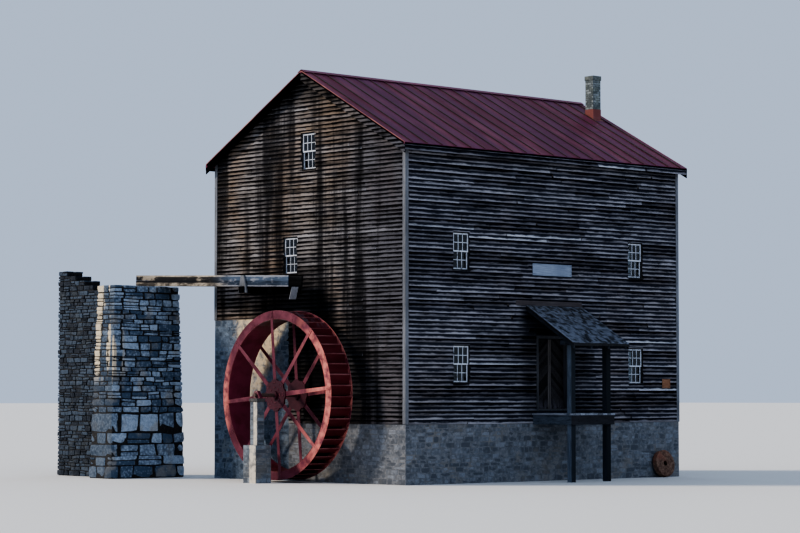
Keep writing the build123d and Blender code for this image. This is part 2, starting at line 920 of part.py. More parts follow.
def hub(arm_face):
    """A cast boss with two lobed flanges that hold the arms between them."""
    with BuildPart() as casting:
        with BuildSketch(arm_face.offset(-hub_plate - steel_fit)):
            hub_outline()
        extrude(amount=hub_plate)
        with BuildSketch(arm_face.offset(arm_thickness + steel_fit)):
            hub_outline()
        extrude(amount=hub_plate)
        with BuildSketch(arm_face.offset(-hub_boss_length / 2)):
            Circle(hub_boss_radius)
        extrude(amount=hub_boss_length)
        with BuildSketch(arm_face.offset(-hub_boss_length / 2)):
            Circle(axle_radius + axle_fit)
        extrude(amount=hub_boss_length, mode=Mode.SUBTRACT)
    return casting


with BuildPart() as wheel_hubs:
    add(hub(wheel_plane))
    add(hub(wheel_plane.offset(-wheel_width - arm_thickness)))

with BuildPart() as wheel_axle:
    axle_end_y = outboard_y - bearing_length
    axle_inner_y = inner_front_y + axle_tail
    with BuildSketch(Plane(origin=(0, axle_end_y, axle_height), z_dir=(0, 1, 0))):
        Circle(axle_radius)
    extrude(amount=axle_inner_y - axle_end_y)

# The sole is a drum of flat plates, with a fold behind the root of every bucket.

with BuildPart() as wheel_sole:
    with BuildSketch(wheel_plane):
        sole_radius = rim_inner_radius - steel_fit
        RegularPolygon(sole_radius, bucket_count, major_radius=True)
        RegularPolygon(sole_radius - sole_thickness, bucket_count, major_radius=True, mode=Mode.SUBTRACT)
    extrude(amount=-wheel_width)

with BuildPart() as bucket:
    with BuildSketch(wheel_plane.offset(-shroud_thickness)):
        with BuildLine():
            elbow_radius = bucket_inner_radius + bucket_elbow * shroud_depth
            lip_turn = radians(bucket_sweep)
            Polyline(
                (bucket_inner_radius, 0),
                (elbow_radius, bucket_elbow * bucket_elbow * shroud_depth * lip_turn),
                (bucket_outer_radius * cos(lip_turn), bucket_outer_radius * sin(lip_turn)),
            )
        trace(line_width=bucket_thickness)
    extrude(amount=2 * shroud_thickness - wheel_width)

with BuildPart() as wheel_buckets:
    add(round_axle(bucket, bucket_count))

# Bearings of the wheel

bearing_face = Plane(
    origin=(0, outboard_y - bearing_length / 2, axle_height), x_dir=(1, 0, 0), z_dir=(0, -1, 0)
)

with BuildPart() as outboard_bearing:
    with BuildSketch(bearing_face):
        outline(
            (-bearing_width / 2, -bearing_base),
            (bearing_width / 2, -bearing_base),
            (bearing_width / 2, bearing_foot - bearing_base),
            (bearing_head_width / 2, bearing_head),
            (-bearing_head_width / 2, bearing_head),
            (-bearing_width / 2, bearing_foot - bearing_base),
        )
        Circle(axle_radius + bearing_bore_clearance, mode=Mode.SUBTRACT)
    extrude(amount=-bearing_length)

pedestal_top = axle_height - bearing_base

with BuildPart() as pedestal_cap:
    with BuildSketch(Plane.XY.offset(pedestal_top - pedestal_cap_height)):
        with Locations((0, outboard_y)):
            Rectangle(
                pedestal_width + 2 * pedestal_cap_overhang,
                pedestal_depth + 2 * pedestal_cap_overhang,
            )
    extrude(amount=pedestal_cap_height)

with BuildPart() as bearing_pedestal:
    with BuildSketch():
        with Locations((0, outboard_y)):
            Rectangle(pedestal_footing, pedestal_footing)
    extrude(amount=pedestal_footing_height)
    with BuildSketch(Plane.XY.offset(pedestal_footing_height)):
        with Locations((0, outboard_y)):
            Rectangle(pedestal_width, pedestal_depth)
    extrude(amount=pedestal_top - pedestal_cap_height - pedestal_footing_height)

with BuildPart() as wall_bearing:
    with BuildSketch(Plane(origin=(0, front_y, axle_height), x_dir=(1, 0, 0), z_dir=(0, -1, 0))):
        Rectangle(wall_bearing_plate, wall_bearing_plate)
    extrude(amount=wall_bearing_thickness)
    with BuildSketch(Plane(origin=(0, front_y, axle_height), x_dir=(1, 0, 0), z_dir=(0, -1, 0))):
        Circle(wall_bearing_boss)
    extrude(amount=wall_bearing_boss_length)
    with BuildSketch(Plane(origin=(0, front_y, axle_height), x_dir=(1, 0, 0), z_dir=(0, -1, 0))):
        Circle(axle_radius + bearing_bore_clearance)
    extrude(amount=wall_bearing_boss_length, mode=Mode.SUBTRACT)

# Flume, on the pier and on two bearers that stand out of the gable

flume_start_x = pier_x - flume_start
flume_end_x = flume_past_axle
flume_y = (wheel_front_y + wheel_rear_y) / 2
flume_slope = flume_fall / (flume_end_x - flume_start_x)


def flume_bottom(x):
    """Height of the underside of the flume at a place along it."""
    return flume_end_bottom + (flume_end_x - x) * flume_slope


def flume_band(height):
    """Outline of a plank that lies along the flume, from its underside up."""
    outline(
        (flume_start_x, flume_bottom(flume_start_x)),
        (flume_end_x, flume_bottom(flume_end_x)),
        (flume_end_x, flume_bottom(flume_end_x) + height),
        (flume_start_x, flume_bottom(flume_start_x) + height),
    )


with BuildPart() as flume_floor:
    with BuildSketch(Plane.XZ.offset(-(flume_y - flume_width / 2 + flume_plank))):
        flume_band(flume_plank)
    extrude(amount=2 * flume_plank - flume_width)

with BuildPart() as flume_sides:
    for side_y in (flume_y - flume_width / 2, flume_y + flume_width / 2 - flume_plank):
        with BuildSketch(Plane.XZ.offset(-side_y)):
            flume_band(flume_side_height)
        extrude(amount=-flume_plank)

with BuildPart() as flume_bearers:
    bearer_front_y = flume_y - flume_width / 2 - bearer_reach
    for place in bearer_places:
        bearer_top = flume_bottom(place + bearer_size / 2)
        with BuildSketch(Plane.XY.offset(bearer_top)):
            with Locations((place, (bearer_front_y + front_y) / 2)):
                Rectangle(bearer_size, front_y - bearer_front_y)
        extrude(amount=-bearer_size)

# The knee stands astride the upstream bearer and splays towards its foot.

with BuildPart() as flume_knee:
    knee_side_y = flume_y - flume_width / 2
    knee_top = flume_bottom(knee_place + knee_head_width / 2) + flume_side_height
    knee_foot = flume_bottom(knee_place + bearer_size / 2) - bearer_size
    with BuildSketch(Plane.XZ.offset(-knee_side_y)):
        outline(
            (knee_place - knee_foot_width / 2, knee_foot),
            (knee_place + knee_foot_width / 2, knee_foot),
            (knee_place + knee_head_width / 2, knee_top),
            (knee_place - knee_head_width / 2, knee_top),
        )
    extrude(amount=knee_thickness)
    add(flume_bearers, mode=Mode.SUBTRACT)

# The end board hangs from the lip and swings back, to turn the water into the buckets.

with BuildPart() as flume_end_board:
    board_top = flume_bottom(flume_end_x)
    with BuildSketch(Plane.XZ.offset(-(flume_y - end_board_width / 2))):
        outline(
            (flume_end_x - end_board_thickness, flume_bottom(flume_end_x - end_board_thickness)),
            (flume_end_x, board_top),
            (flume_end_x - end_board_swing, board_top - end_board_height),
            (flume_end_x - end_board_swing - end_board_thickness, board_top - end_board_height),
        )
    extrude(amount=-end_board_width)

# Dry-laid stone pier, battered on its two open faces, and the wing wall beside it

pier_mill_x = pier_x - pier_gap
pier_far_x = pier_mill_x - pier_width
pier_front_y = front_y - pier_front_reach
pier_rear_y = front_y - pier_rear_inset
pier_top = flume_bottom(pier_mill_x - pier_batter)

with BuildPart() as pier:
    with BuildSketch():
        with Locations((pier_far_x, pier_front_y)):
            Rectangle(pier_width, pier_rear_y - pier_front_y, align=Align.MIN)
    with BuildSketch(Plane.XY.offset(pier_top)):
        with Locations((pier_far_x, pier_front_y + pier_batter)):
            Rectangle(
                pier_width - pier_batter,
                pier_rear_y - pier_front_y - pier_batter,
                align=Align.MIN,
            )
    loft(ruled=True)

with BuildPart() as wing_wall:
    wing_front_y = pier_front_y + wing_setback
    step_length = wing_length / wing_step_count
    step_rise = (wing_high_end - wing_low_end) / (wing_step_count - 1)
    for number in range(wing_step_count):
        with BuildSketch():
            with Locations((pier_far_x - number * step_length, wing_front_y)):
                Rectangle(step_length, wing_thickness, align=(Align.MAX, Align.MIN))
        extrude(amount=foundation_height + wing_low_end + number * step_rise)

with BuildPart() as millstone:
    lean = radians(millstone_lean)
    stone_x = porch_x + steel_fit + millstone_radius * sin(lean) + millstone_thickness / 2 * cos(lean)
    stone_z = millstone_radius * cos(lean) + millstone_thickness / 2 * sin(lean)
    with BuildSketch(
        Plane(
            origin=(stone_x, front_y + millstone_centre, stone_z),
            x_dir=(0, 1, 0),
            z_dir=(cos(lean), 0, sin(lean)),
        )
    ):
        Circle(millstone_radius)
        Circle(millstone_eye, mode=Mode.SUBTRACT)
    extrude(amount=millstone_thickness / 2, both=True)

pieces = {
    "stone_storey_wall": stone_storey_wall,
    "foundation_wheel_side": foundation_wheel_side,
    "foundation_porch_side": foundation_porch_side,
    "foundation_pier_side": foundation_pier_side,
    "foundation_rear": foundation_rear,
    "wheel_gable_wall": wheel_gable_wall,
    "rear_gable_wall": rear_gable_wall,
    "porch_wall_near": porch_wall_near,
    "porch_wall_far": porch_wall_far,
    "porch_wall_over_door": porch_wall_over_door,
    "porch_wall_under_door": porch_wall_under_door,
    "pier_side_wall": pier_side_wall,
    "corner_boards": corner_boards,
    "first_floor": first_floor,
    "second_floor": second_floor,
    "attic_floor": attic_floor,
    "roof_porch_side": roof_porch_side,
    "roof_pier_side": roof_pier_side,
    "ridge_cap": ridge_cap,
    "roof_boards": roof_boards,
    "chimney": chimney,
    "chimney_flashing": chimney_flashing,
    "windows_porch_side": windows_porch_side,
    "windows_pier_side": windows_pier_side,
    "windows_wheel_side": windows_wheel_side,
    "windows_rear": windows_rear,
    "window_panes": window_panes,
    "door_frame": door_frame,
    "door_leaf_near": door_leaf_near,
    "door_leaf_far": door_leaf_far,
    "porch_roof": porch_roof,
    "porch_plate": porch_plate,
    "porch_rafters": porch_rafters,
    "porch_post_near": porch_post_near,
    "porch_post_far": porch_post_far,
    "deck_frame": deck_frame,
    "deck_planks": deck_planks,
    "wall_signs": wall_signs,
    "wheel_axle": wheel_axle,
    "wheel_hubs": wheel_hubs,
    "wheel_arms_front": wheel_arms_front,
    "wheel_arms_rear": wheel_arms_rear,
    "shroud_front": shroud_front,
    "shroud_rear": shroud_rear,
    "wheel_sole": wheel_sole,
    "wheel_buckets": wheel_buckets,
    "outboard_bearing": outboard_bearing,
    "pedestal_cap": pedestal_cap,
    "bearing_pedestal": bearing_pedestal,
    "wall_bearing": wall_bearing,
    "flume_floor": flume_floor,
    "flume_sides": flume_sides,
    "flume_bearers": flume_bearers,
    "flume_knee": flume_knee,
    "flume_end_board": flume_end_board,
    "pier": pier,
    "wing_wall": wing_wall,
    "millstone": millstone,
}

for name, piece in pieces.items():
    piece.part.label = name
    export_step(piece.part, f"parts/{name}.step")
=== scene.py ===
import random
from math import atan2, cos, pi, radians, tan

import bmesh
import bpy
import numpy as np
from mathutils import Matrix, Vector, noise


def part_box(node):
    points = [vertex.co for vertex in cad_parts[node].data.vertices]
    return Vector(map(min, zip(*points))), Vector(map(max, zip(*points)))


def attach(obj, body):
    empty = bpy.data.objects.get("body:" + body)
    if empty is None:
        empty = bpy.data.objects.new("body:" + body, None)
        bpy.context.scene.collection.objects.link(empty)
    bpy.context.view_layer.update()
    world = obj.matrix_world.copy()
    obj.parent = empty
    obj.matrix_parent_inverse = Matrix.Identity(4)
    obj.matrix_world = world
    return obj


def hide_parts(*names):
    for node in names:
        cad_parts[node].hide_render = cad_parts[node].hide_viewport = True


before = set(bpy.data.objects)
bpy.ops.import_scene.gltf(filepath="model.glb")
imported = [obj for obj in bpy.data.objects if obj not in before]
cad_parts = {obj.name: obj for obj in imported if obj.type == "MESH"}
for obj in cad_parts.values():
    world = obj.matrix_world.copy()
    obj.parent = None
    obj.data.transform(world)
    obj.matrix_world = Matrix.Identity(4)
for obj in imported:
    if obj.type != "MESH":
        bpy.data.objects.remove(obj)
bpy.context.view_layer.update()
random.seed(11)

# The view. The mill is seen from far off and from little above its foot, through a long
# lens, on a plain pale floor in soft light that comes mostly from the left.

camera_place = (57.558, -48.750, 2.610)
camera_lift = radians(3.08)
camera_turn = radians(47.69)
camera_lens = 109.1
picture_contrast = "AgX - High Contrast"
floor_size = 1600
floor_colour = (0.66, 0.66, 0.64, 1)
sky_colour = (0.66, 0.78, 1.0, 1)
sky_strength = 0.62
camera_reach = 3000
key_direction = Vector((0.62, 0.66, -0.52))
key_colour = (1.0, 0.86, 0.70)
key_strength = 3.0
key_softness = radians(9)
fill_direction = Vector((-0.80, 0.25, -0.45))
fill_colour = (0.72, 0.82, 1.0)
fill_strength = 0.42
fill_softness = radians(50)

bpy.ops.object.select_all(action="DESELECT")
bpy.ops.object.camera_add(location=camera_place, rotation=(pi / 2 + camera_lift, 0, camera_turn))
camera = bpy.context.object
camera.data.lens = camera_lens
camera.data.clip_end = camera_reach
bpy.context.scene.camera = camera

for name, direction, colour, strength, softness in (
    ("key_light", key_direction, key_colour, key_strength, key_softness),
    ("fill_light", fill_direction, fill_colour, fill_strength, fill_softness),
):
    bpy.ops.object.light_add(type="SUN", rotation=direction.to_track_quat("-Z", "Y").to_euler())
    light = bpy.context.object
    light.name = name
    light.data.color = colour
    light.data.energy = strength
    light.data.angle = softness

world = bpy.data.worlds.new("studio")
world.use_nodes = True
sky = world.node_tree.nodes["Background"].inputs
sky["Color"].default_value = sky_colour
sky["Strength"].default_value = sky_strength
bpy.context.scene.world = world
bpy.context.scene.view_settings.look = picture_contrast


class Value:
    """What a node puts out. A sum, difference or product of it is a node of the same finish."""

    def __init__(self, socket):
        self.socket, self.tree = socket, socket.id_data

    def __add__(self, other):
        return maths("ADD", self, other)

    __radd__ = __add__

    def __sub__(self, other):
        return maths("SUBTRACT", self, other)

    def __rsub__(self, other):
        return maths("SUBTRACT", other, self)

    def __mul__(self, other):
        return maths("MULTIPLY", self, other)


def feed(socket, value):
    """Links a value to an input, or sets the input to a plain number, place or colour."""
    if isinstance(value, Value):
        value.tree.links.new(value.socket, socket)
    else:
        socket.default_value = (*value[:3], 1) if socket.type == "RGBA" else value


def add_node(tree, kind, inputs, output=0, **settings):
    """A new node with its settings and its inputs fed, as the value that it puts out."""
    made = tree.nodes.new("ShaderNode" + kind)
    for name, setting in settings.items():
        setattr(made, name, setting)
    for name, value in inputs.items():
        feed(made.inputs[name], value)
    return Value(made.outputs[output])


def maths(operation, first, second):
    """The result of a sum, product or the like of two numbers."""
    tree = first.tree if isinstance(first, Value) else second.tree
    return add_node(tree, "Math", {0: first, 1: second}, operation=operation)


def band(value, low, high, at_low=0.0, at_high=1.0):
    """A soft step: at_low where the value is under low, at_high where it is over high."""
    inputs = {"Value": value, "From Min": low, "From Max": high, "To Min": at_low, "To Max": at_high}
    return add_node(value.tree, "MapRange", inputs, interpolation_type="SMOOTHSTEP")


def blend(share, first, second):
    """Two colours mixed by a share."""
    return add_node(share.tree, "Mix", {0: share, 6: first, 7: second}, 2, data_type="RGBA")


def stretched(place, scale):
    """A place scaled along each axis, which draws a pattern out along the others."""
    return add_node(place.tree, "VectorMath", {0: place, 1: scale}, operation="MULTIPLY")


def mottle(place, scale, detail=4.0, roughness=0.6, distortion=0.0):
    """Soft random patches from 0 to 1, scale of them to the metre or to that along each axis."""
    if isinstance(scale, tuple):
        place, scale = stretched(place, scale), 1.0
    inputs = {"Vector": place, "Scale": scale, "Detail": detail, "Roughness": roughness,
              "Distortion": distortion}
    return add_node(place.tree, "TexNoise", inputs)


def outputs_of(made):
    """All that a node puts out, by name."""
    return {socket.name: Value(socket) for socket in made.outputs}


def shader_group(name, inputs, outputs):
    """An empty node group with named inputs, each with a value, and named outputs."""
    tree = bpy.data.node_groups.new(name, "ShaderNodeTree")
    kinds = {float: "NodeSocketFloat", tuple: "NodeSocketColor", Vector: "NodeSocketVector"}
    for label, value in inputs.items():
        socket = tree.interface.new_socket(label, in_out="INPUT", socket_type=kinds[type(value)])
        socket.default_value = value
    for label, kind in outputs.items():
        tree.interface.new_socket(label, in_out="OUTPUT", socket_type=kinds[kind])
    given = outputs_of(tree.nodes.new("NodeGroupInput"))
    return tree, given, tree.nodes.new("NodeGroupOutput").inputs


def use_group(group, place, **values):
    """What a node group makes of a place, with its other inputs fed."""
    made = place.tree.nodes.new("ShaderNodeGroup")
    made.node_tree = group
    for label, value in {"Place": place, **values}.items():
        feed(made.inputs[label], value)
    return outputs_of(made)


def start_finish(name, roughness=0.5, gloss=0.5):
    """A new material, its shader and the place of each point on the piece."""
    material = bpy.data.materials.new(name)
    material.use_nodes = True
    shader = material.node_tree.nodes["Principled BSDF"].inputs
    feed(shader["Roughness"], roughness)
    feed(shader["Specular IOR Level"], gloss)
    return material, shader, add_node(material.node_tree, "TexCoord", {}, "Object")


def own(place, name):
    """A value that each copy in a joined mesh carries, such as its tone."""
    return add_node(place.tree, "Attribute", {}, "Fac", attribute_name=name)


def relief(shader, height, depth):
    """Raises the surface by a height of up to depth metres."""
    feed(shader["Normal"], add_node(height.tree, "Bump", {"Height": height, "Distance": depth}))


bpy.ops.mesh.primitive_plane_add(size=floor_size)
floor = bpy.context.object
floor.name = "floor"
floor_paint, shader, place = start_finish("floor_paint", roughness=0.9)
feed(shader["Base Color"], floor_colour)
floor.data.materials.append(floor_paint)

# Rubble masonry. The stone storey beside the wheel and the foundation walls are field
# stones of a hand's length, laid in rough courses in pale lime mortar and pointed nearly
# flush. The walls themselves are the mortar, and each stone stands a little out of it.

rubble_course = (0.11, 0.20)
rubble_length = (0.15, 0.46)
rubble = {"joint": 0.018, "bed": 0.10, "proud": (0.001, 0.009), "wave": 0.034}
rubble_kinds = (8, 1, 0.16, 0.055)
split_share = 0.24
split_place = (0.35, 0.65)
split_least = 0.13
smooth_under = radians(35)


def select_only(piece):
    """Selects one piece alone and makes it the active one."""
    bpy.ops.object.select_all(action="DESELECT")
    bpy.context.view_layer.objects.active = piece
    piece.select_set(True)


def edit(piece, *steps):
    """Runs mesh operators in edit mode on the whole of one piece."""
    select_only(piece)
    bpy.ops.object.mode_set(mode="EDIT")
    bpy.ops.mesh.select_all(action="SELECT")
    for step in steps:
        step()
    bpy.ops.object.mode_set(mode="OBJECT")


def block(low, high, ease=0.0):
    """A squared block between two corners, with eased edges."""
    low, high = Vector(low), Vector(high)
    bpy.ops.object.select_all(action="DESELECT")
    bpy.ops.mesh.primitive_cube_add(size=1, location=(low + high) / 2, scale=high - low)
    bpy.ops.object.transform_apply(location=True, rotation=True, scale=True)
    piece = bpy.context.object
    if ease:
        edit(piece, lambda: bpy.ops.mesh.bevel(offset=ease, segments=1, affect="EDGES"))
    return piece


def unit_block(ease=0.0):
    """A pattern block one unit each way, its edges eased by a share of that."""
    return block((-0.5, -0.5, -0.5), (0.5, 0.5, 0.5), ease)


def cut_off(piece, point, outward, outer=True):
    """Cuts a piece along a plane, and leaves off what lies outward or inward of it."""
    edit(piece, lambda: bpy.ops.mesh.bisect(plane_co=point, plane_no=outward, use_fill=True,
                                            clear_outer=outer, clear_inner=not outer))


def field_stone(seed, cuts, corner, unevenness):
    """A stone one unit each way: a block with rounded corners and uneven faces."""
    stone = unit_block()
    edit(
        stone,
        lambda: bpy.ops.mesh.subdivide(number_cuts=cuts),
        lambda: bpy.ops.transform.tosphere(value=corner),
        lambda: bpy.ops.transform.vertex_random(offset=unevenness, seed=seed),
    )
    points = np.array([vertex.co[:] for vertex in stone.data.vertices])
    points = (points - points.min(0)) / (points.max(0) - points.min(0)) - 0.5
    stone.data.vertices.foreach_set("co", points.ravel())
    return stone


def finished(piece, name, body, slot, material, *nodes):
    """Names a piece, gives it its finish and sets it on the body it belongs to."""
    piece.name = piece.data.name = name
    piece.data.materials.clear()
    piece.data.materials.append(material)
    select_only(piece)
    bpy.ops.object.shade_smooth_by_angle(angle=smooth_under)
    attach(piece, body)
    if nodes:
        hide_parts(*nodes)
    return piece


def moved(points, place):
    """Points taken to a place."""
    return points @ np.array(place.to_3x3()).T + np.array(place.translation)


def laid(patterns, places):
    """Many copies of a few modelled patterns, joined in one mesh. Each copy keeps a random
    tone, and each point its height in the pattern, for the finish to read."""
    shapes = [
        (
            np.array([vertex.co[:] for vertex in pattern.data.vertices]),
            [side.vertices[:] for side in pattern.data.polygons],
            [side.material_index for side in pattern.data.polygons],
        )
        for pattern in patterns
    ]
    points, sides, finishes, tones, rises = [], [], [], [], []
    start = 0
    for place in places:
        corners, faces, kinds = random.choice(shapes)
        points.append(place(corners) if callable(place) else moved(corners, place))
        sides += [tuple(start + corner for corner in face) for face in faces]
        finishes += kinds
        tones += [random.random()] * len(corners)
        rises.append(corners[:, 2] + 0.5)
        start += len(corners)
    mesh = bpy.data.meshes.new("laid")
    mesh.from_pydata(np.concatenate(points).tolist(), [], sides)
    mesh.polygons.foreach_set("material_index", finishes)
    mesh.attributes.new("tone", "FLOAT", "POINT").data.foreach_set("value", tones)
    mesh.attributes.new("rise", "FLOAT", "POINT").data.foreach_set("value", np.concatenate(rises))
    piece = bpy.data.objects.new("laid", mesh)
    bpy.context.scene.collection.objects.link(piece)
    for pattern in patterns:
        bpy.data.objects.remove(pattern)
    return piece


def masonry(places, kinds, *shape):
    """Stones of a few kinds, each laid in its place. A kind is cut a few times each way, and
    has a roundness of its corners and an unevenness of its faces."""
    return laid([field_stone(seed, *shape) for seed in range(kinds)], places)


def coat(material, *nodes):
    """Gives CAD pieces their finish."""
    for node in nodes:
        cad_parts[node].material_slots[0].material = material


def steps_between(start, end, shortest, longest):
    """Cuts a length into uneven pieces, as pairs of start and end."""
    pieces = []
    while end - start > 1e-6:
        reach = start + random.uniform(shortest, longest)
        if end - reach < shortest:
            reach = end
        pieces.append((start, reach))
        start = reach
    return pieces


def at(x, y, z):
    """A step along each axis."""
    return Matrix.Translation((x, y, z))


def turned(angle, axis):
    """A turn about one axis."""
    return Matrix.Rotation(angle, 4, axis)


def sized(x, y, z):
    """A stretch along each axis."""
    return Matrix.Diagonal((x, y, z, 1))


def wall_face(x, y, turn):
    """A frame on a wall's outer face: along it, into it, and up."""
    return at(x, y, 0) @ turned(turn, "Z")


def stone_in(face, low_left, low_right, high_right, high_left, outer, depth):
    """Where a stone goes whose face has four free corners: the pattern is bent into them."""
    corners = [np.array(corner) for corner in (low_left, low_right, high_right, high_left)]

    def place(points):
        across, up = points[:, :1] + 0.5, points[:, 2:] + 0.5
        flat = ((1 - up) * ((1 - across) * corners[0] + across * corners[1])
                + up * (across * corners[2] + (1 - across) * corners[3]))
        inward = outer + (points[:, 1:2] + 0.5) * depth
        return moved(np.hstack([flat[:, :1], inward, flat[:, 1:]]), face)

    return place


def stone_course(face, left, right, low, high, lengths, joint, bed, proud, wave, level_ends=()):
    """One course of stones with wavy beds and leaning joints. Some are two thin stones."""
    def bed_line(x, level):
        return level + (0 if level in level_ends else wave * noise.noise((1.9 * x, 4 * level, left)))

    stones = []
    cuts = [left] + [piece[1] for piece in steps_between(left, right, *lengths)]
    leans = [0] + [random.uniform(-wave, wave) / 2 for cut in cuts[1:-1]] + [0]
    for number in range(len(cuts) - 1):
        sides = [cuts[number] + joint / 2, cuts[number + 1] - joint / 2]
        tilts = [leans[number], leans[number + 1]]
        thin = high - low > split_least and random.random() < split_share
        parts = (0, random.uniform(*split_place), 1) if thin else (0, 1)
        for lower, upper in zip(parts, parts[1:]):
            corners = []
            for side, share, up in ((0, lower, 1), (1, lower, 1), (1, upper, -1), (0, upper, -1)):
                x = sides[side] + tilts[side] * (2 * share - 1)
                foot, head = bed_line(x, low), bed_line(x, high)
                corners.append((x, foot + share * (head - foot) + up * joint / 2))
            stones.append(stone_in(face, *corners, -random.uniform(*proud), bed))
    return stones


def rubble_face(face, left, right, bottom, top):
    """The stones that show in one rectangle of a mortared wall."""
    stones = []
    for low, high in steps_between(bottom, top, *rubble_course):
        stones += stone_course(face, left, right, low, high, rubble_length, **rubble,
                               level_ends=(bottom, top))
    return stones


mill_low, foundation_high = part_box("foundation_rear")
mill_high = Vector((foundation_high.x, foundation_high.y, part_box("porch_wall_near")[1].z))
mill_low = Vector((mill_low.x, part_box("foundation_wheel_side")[0].y, 0))
siding_foot = foundation_high.z
storey_low, storey_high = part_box("stone_storey_wall")
four_sides = ((0, -1, 0), (1, 0, pi / 2), (0, 1, pi), (-1, 0, -pi / 2))
wheel_side = wall_face(0, mill_low.y, 0)
porch_side = wall_face(mill_high.x, 0, pi / 2)
rear_side = wall_face(0, mill_high.y, pi)
pier_side = wall_face(mill_low.x, 0, -pi / 2)

storey_stones = rubble_face(wheel_side, storey_low.x, storey_high.x, 0, storey_high.z)
storey_stones += rubble_face(pier_side, -storey_high.y, -storey_low.y, siding_foot, storey_high.z)
stones = rubble_face(wheel_side, storey_high.x, mill_high.x, 0, siding_foot)
stones += rubble_face(porch_side, mill_low.y, mill_high.y, 0, siding_foot)
stones += rubble_face(rear_side, -mill_high.x, -mill_low.x, 0, siding_foot)
stones += rubble_face(pier_side, -mill_high.y, -mill_low.y, 0, siding_foot)

stone_surface, given, result = shader_group(
    "stone surface",
    {"Place": Vector((0, 0, 0)), "Tone": 0.5, "Grain": 1.0, "Broken": 0.5,
     "Dark": (0.1, 0.1, 0.1, 1), "Pale": (0.4, 0.4, 0.4, 1), "Warm": (0.3, 0.25, 0.18, 1)},
    {"Color": tuple, "Height": float},
)
scale = given["Grain"]
patches = mottle(given["Place"], scale * 3.2, 5, 0.62)
grains = mottle(given["Place"], scale * 34, 6, 0.72)
warmth = mottle(given["Place"], scale * 1.1, 3, 0.5)
facets = add_node(stone_surface, "TexVoronoi",
                  {"Vector": given["Place"], "Scale": scale * 7.5, "Randomness": 1.0})
facet = band(facets, 0.05, 0.75, 1, 0)
shade = patches * 0.55 + given["Tone"] * 0.45
shade = shade + (facet - 0.55) * (given["Broken"] * 0.3)
colour = blend(band(shade, 0.28, 0.72), given["Dark"], given["Pale"])
colour = blend(band(warmth, 0.52, 0.7, 0, 0.55), colour, given["Warm"])
colour = blend(band(grains, 0.3, 0.62, 0.55, 0), colour, given["Dark"])
feed(result["Color"], colour)
height = patches * 0.55 + grains * 0.35
feed(result["Height"], height + facet * (given["Broken"] * 0.5))


def stone_finish(name, dark, pale, warm, grain, depth, tone=None, broken=0.5):
    """Weathered stone, its colour from patch and grain and from each stone's own tone."""
    material, shader, place = start_finish(name)
    surface = use_group(stone_surface, place, Tone=own(place, "tone") if tone is None else tone,
                        Grain=grain, Broken=broken, Dark=dark, Pale=pale, Warm=warm)
    feed(shader["Base Color"], surface["Color"])
    feed(shader["Roughness"], band(surface["Height"], 0.3, 0.7, 0.95, 0.78))
    relief(shader, surface["Height"], depth)
    return material


def washed(material, mask, colour):
    """Lays one more colour over a finish where the mask says."""
    base = material.node_tree.nodes["Principled BSDF"].inputs["Base Color"]
    feed(base, blend(mask, Value(base.links[0].from_socket), colour))


def axes_of(place):
    """The parts of a place or a direction along X, Y and Z."""
    made = place.tree.nodes.new("ShaderNodeSeparateXYZ")
    feed(made.inputs[0], place)
    return [Value(socket) for socket in made.outputs]


def parts_of(material):
    """The place of a point on a piece with this finish, whole and along X, Y and Z."""
    place = Value(material.node_tree.nodes["Texture Coordinate"].outputs["Object"])
    return place, *axes_of(place)


def facing(place, axis):
    """The part of a surface's true direction that lies along one axis."""
    return axes_of(add_node(place.tree, "NewGeometry", {}, "True Normal"))["XYZ".index(axis)]


rubble_finish = stone_finish("rubble_stone", (0.070, 0.082, 0.102), (0.210, 0.236, 0.276),
                             (0.205, 0.192, 0.168), 1.1, 0.014)
storey_finish = stone_finish("storey_stone", (0.040, 0.064, 0.100), (0.155, 0.212, 0.290),
                             (0.160, 0.185, 0.205), 1.0, 0.016, broken=0.9)
mortar_finish = stone_finish("lime_mortar", (0.078, 0.088, 0.104), (0.200, 0.216, 0.240),
                             (0.200, 0.186, 0.158), 1.3, 0.012, 0.6)
storey_mortar = stone_finish("storey_mortar", (0.052, 0.078, 0.116), (0.155, 0.205, 0.270),
                             (0.160, 0.180, 0.195), 1.3, 0.012, 0.6)
# The storey's stone and mortar are bluer and darker than the foundation's, as painted shade, and a
# ragged slanting strip behind the wheel is painted cream as sunlight.
for material in (storey_finish, storey_mortar):
    place, across, inward, up = parts_of(material)
    ragged = mottle(place, 2.2, 5, 0.7) - 0.5
    slanting = across - up * 0.57
    slanting = slanting + ragged * 0.5
    leftward = across + ragged * 2.4
    painted_sunlit_strip = band(slanting, -3.66, -3.98) * band(leftward, -3.7, -2.8)
    painted_sunlit_strip = painted_sunlit_strip * band(up, 1.5, 4.8, 0.25, 1)
    washed(material, painted_sunlit_strip * band(mottle(place, 4.5, 6, 0.75), 0.38, 0.54, 0.2, 1),
           (0.62, 0.51, 0.35))
finished(masonry(stones, *rubble_kinds), "rubble_stones", "mill", "rubble", rubble_finish)
finished(masonry(storey_stones, *rubble_kinds), "storey_stones", "mill", "rubble", storey_finish)
coat(storey_mortar, "stone_storey_wall")
coat(mortar_finish, "foundation_wheel_side", "foundation_porch_side", "foundation_pier_side",
     "foundation_rear")
